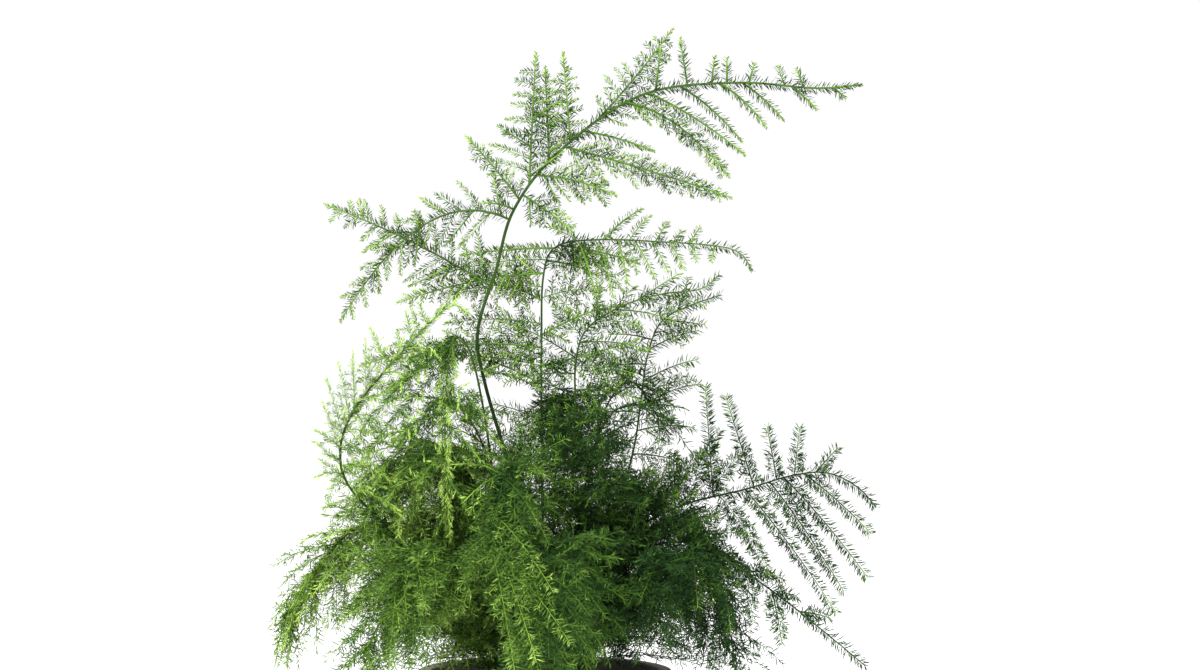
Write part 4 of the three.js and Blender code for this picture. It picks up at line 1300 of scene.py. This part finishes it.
def draw_up(name, profile):
    """Extrudes a disc through rings of radius and height, all in millimetres."""
    deselect_all()
    (radius, height), *rings = profile
    bpy.ops.mesh.primitive_circle_add(
        vertices=POT_SIDES, radius=radius * MM, fill_type="NGON", location=(0, 0, height * MM))
    made = bpy.context.object
    made.name = name
    bpy.ops.object.transform_apply(location=True, rotation=True, scale=True)
    bpy.ops.object.mode_set(mode="EDIT")
    bpy.ops.mesh.select_all(action="SELECT")
    for next_radius, next_height in rings:
        bpy.ops.mesh.extrude_region_move(
            TRANSFORM_OT_translate={"value": (0, 0, (next_height - height) * MM)})
        wider = next_radius / radius
        bpy.ops.transform.resize(
            value=(wider, wider, 1), center_override=(0, 0, next_height * MM))
        radius, height = next_radius, next_height
    bpy.ops.mesh.select_all(action="SELECT")
    bpy.ops.mesh.normals_make_consistent(inside=False)
    bpy.ops.object.mode_set(mode="OBJECT")
    return made


# How much the wall leans out, the height under the rim band, and the radius of the band.
SLOPE = (POT_RIM - POT_FOOT) / POT_HEIGHT
under = POT_HEIGHT - POT_BAND
outside = POT_RIM + POT_PROUD
# The foot, the wall, the band, the rim, and down inside to the floor.
pot = draw_up("fine_pot", [
    (POT_FOOT - 4, 0), (POT_FOOT - 0.4, 0), (POT_FOOT + SLOPE * 2, 2),
    (POT_FOOT + SLOPE * 60, 60), (POT_FOOT + SLOPE * under, under), (outside - 0.4, under),
    (outside, under + 2), (outside, POT_HEIGHT), (POT_RIM - POT_WALL, POT_HEIGHT),
    (POT_RIM - POT_WALL - SLOPE * 20, POT_HEIGHT - 20),
    (POT_FOOT - POT_WALL + SLOPE * POT_FLOOR, POT_FLOOR)])
bevel = pot.modifiers.new("soft edges", "BEVEL")
bevel.width, bevel.segments = POT_BEVEL * MM, BEVEL_SEGMENTS
bevel.limit_method, bevel.angle_limit = "ANGLE", BEVEL_FROM
choose(pot)
bpy.ops.object.modifier_apply(modifier=bevel.name)
bpy.ops.object.shade_smooth_by_angle(angle=SMOOTH_TO)
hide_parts("pot")
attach(pot, "root")
print("pot", [round(x, 4) for x in pot.dimensions])

# %% [markdown]
# ## A rough, earthy finish
#
# Clay, peat and pale grains are all matt and uneven: lighter and darker in patches, with a fine
# grain that can be felt. A ramp over the patches gives the colour, and a bump the grain. The
# three differ only in their numbers, so one function makes them all.

# %% The pot's material
def earthy_material(name, roughness, patch, dark, light, grain_scale, strength, depth):
    material, nodes, links, shader = new_material(name, roughness)
    patches = add_patches(nodes, patch, 0.0, 1.0)
    ramp = ramp_of(nodes, [(0.0, dark), (1.0, light)])
    grain = nodes.new("ShaderNodeTexNoise")
    grain.inputs["Scale"].default_value = grain_scale
    place = nodes.new("ShaderNodeTexCoord")
    bump = nodes.new("ShaderNodeBump")
    bump.inputs["Strength"].default_value = strength
    bump.inputs["Distance"].default_value = depth
    wire(links, (patches, "Value", ramp, "Fac"), (ramp, "Color", shader, "Base Color"),
         (place, "Object", grain, "Vector"), (grain, "Fac", bump, "Height"),
         (bump, "Normal", shader, "Normal"))
    return material


pot_clay = earthy_material(
    "pot_clay", 0.7, 18, (0.175, 0.160, 0.138), (0.250, 0.230, 0.202), 900, 0.25, 0.0003)
pot.data.materials.append(pot_clay)
print("the pot's material:", pot_clay.name)

# %% [markdown]
# ## The soil
#
# Potting soil is a loose crumb of dark fibre with a few pale grains. Its body is one solid that
# fills the pot, domed a little towards the crown. Its top is cut into small faces and pushed up
# and down by noise, and crumbs, modelled once each as a dented ball, lie scattered on it.

# %% The body of the soil
SOIL_GAP, SOIL_RINGS = 0.7, 14
CRUMB_SCALE, CRUMB_HEIGHT = 0.006, 3.2
inner = POT_FOOT - POT_WALL + SLOPE * SOIL_TOP - SOIL_GAP


def soil_height(share):
    """The dome of the soil, from its middle at 0 to its edge at 1."""
    return SOIL_TOP + SOIL_DOME * (1 - share**2)


rings = [(inner * k / SOIL_RINGS, soil_height(k / SOIL_RINGS))
         for k in range(SOIL_RINGS - 1, 0, -1)]
soil = draw_up("fine_soil", [
    (POT_FOOT - POT_WALL + SLOPE * POT_FLOOR - 1, POT_FLOOR + 0.4), (inner - 0.4, SOIL_TOP - 2),
    (inner - 0.8, SOIL_TOP - 0.6), *rings])
crumb = bpy.data.textures.new("crumb", "CLOUDS")
crumb.noise_scale = CRUMB_SCALE
weight = soil.vertex_groups.new(name="top")
top = [v.index for v in soil.data.vertices if v.co.z > (SOIL_TOP - 1) * MM]
weight.add(top, 1, "REPLACE")
rough = soil.modifiers.new("crumbly top", "DISPLACE")
rough.texture, rough.texture_coords, rough.strength = crumb, "LOCAL", CRUMB_HEIGHT * MM
rough.direction, rough.vertex_group = "Z", "top"
choose(soil)
bpy.ops.object.modifier_apply(modifier=rough.name)
print("soil", [round(x, 4) for x in soil.dimensions])

# %% Crumbs and pale grains on the soil
DENT_WAVES = np.array((3.1, 4.7, 5.3))
EDGE_SPARE, CRUMB_LIFT = 4, 0.4


def scatter(name, count, radii, seed, dent):
    """Copies one dented ball over the soil's top, each copy with its own size and turn."""
    deselect_all()
    bpy.ops.mesh.primitive_ico_sphere_add(subdivisions=1, radius=1)
    ball = bpy.context.object
    shape = np.array([v.co for v in ball.data.vertices])
    shape = shape * (1 + dent * np.sin(shape @ DENT_WAVES))[:, None]
    faces = [tuple(f.vertices) for f in ball.data.polygons]
    bpy.data.objects.remove(ball)
    dice = np.random.default_rng(seed)
    points, corners = [], []
    for k in range(count):
        angle = dice.uniform(0, 2 * math.pi)
        away = (inner - EDGE_SPARE) * math.sqrt(dice.uniform(0.02, 1))
        turn = np.linalg.qr(dice.normal(size=(3, 3)))[0]
        turn[:, 0] *= np.sign(np.linalg.det(turn))
        scale = dice.uniform(*radii) * dice.uniform(0.7, 1.15, 3)
        height = soil_height(away / inner) + CRUMB_LIFT
        centre = np.array((math.cos(angle) * away, math.sin(angle) * away, height))
        corners += [tuple(i + len(shape) * k for i in f) for f in faces]
        points.append((shape * scale) @ turn.T + centre)
    mesh = bpy.data.meshes.new(name)
    mesh.from_pydata((np.concatenate(points) * MM).tolist(), [], corners)
    made = add_object(name, mesh)
    choose(made)
    bpy.ops.object.shade_smooth()
    return made


crumbs = scatter("soil_crumbs", 260, (0.8, 2.2), 3, 0.25)
grains = scatter("pale_grains", 46, (0.7, 1.5), 5, 0.15)
print("crumbs and grains:", len(crumbs.data.polygons), len(grains.data.polygons), "faces")

# %% The materials of the soil
SOIL_FINISH = {"roughness": 0.95, "patch": 160, "grain_scale": 1400, "strength": 0.8,
               "depth": 0.0006}
peat = earthy_material(
    "peat", dark=(0.014, 0.010, 0.007), light=(0.050, 0.034, 0.022), **SOIL_FINISH)
pale_grain = earthy_material(
    "pale_grain", dark=(0.42, 0.40, 0.36), light=(0.70, 0.68, 0.62), **SOIL_FINISH)
soil.data.materials.append(peat)
crumbs.data.materials.append(peat)
grains.data.materials.append(pale_grain)
for piece in (soil, crumbs, grains):
    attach(piece, "root")
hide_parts("soil")
print("the soil's materials:", peat.name, pale_grain.name)

# %% [markdown]
# ## The solid model's box
#
# The dressed plant is meant to fill the same box as the solid model, and that box is printed.

# %% Sizes and the end
print("solid model", rounded(cad_box))
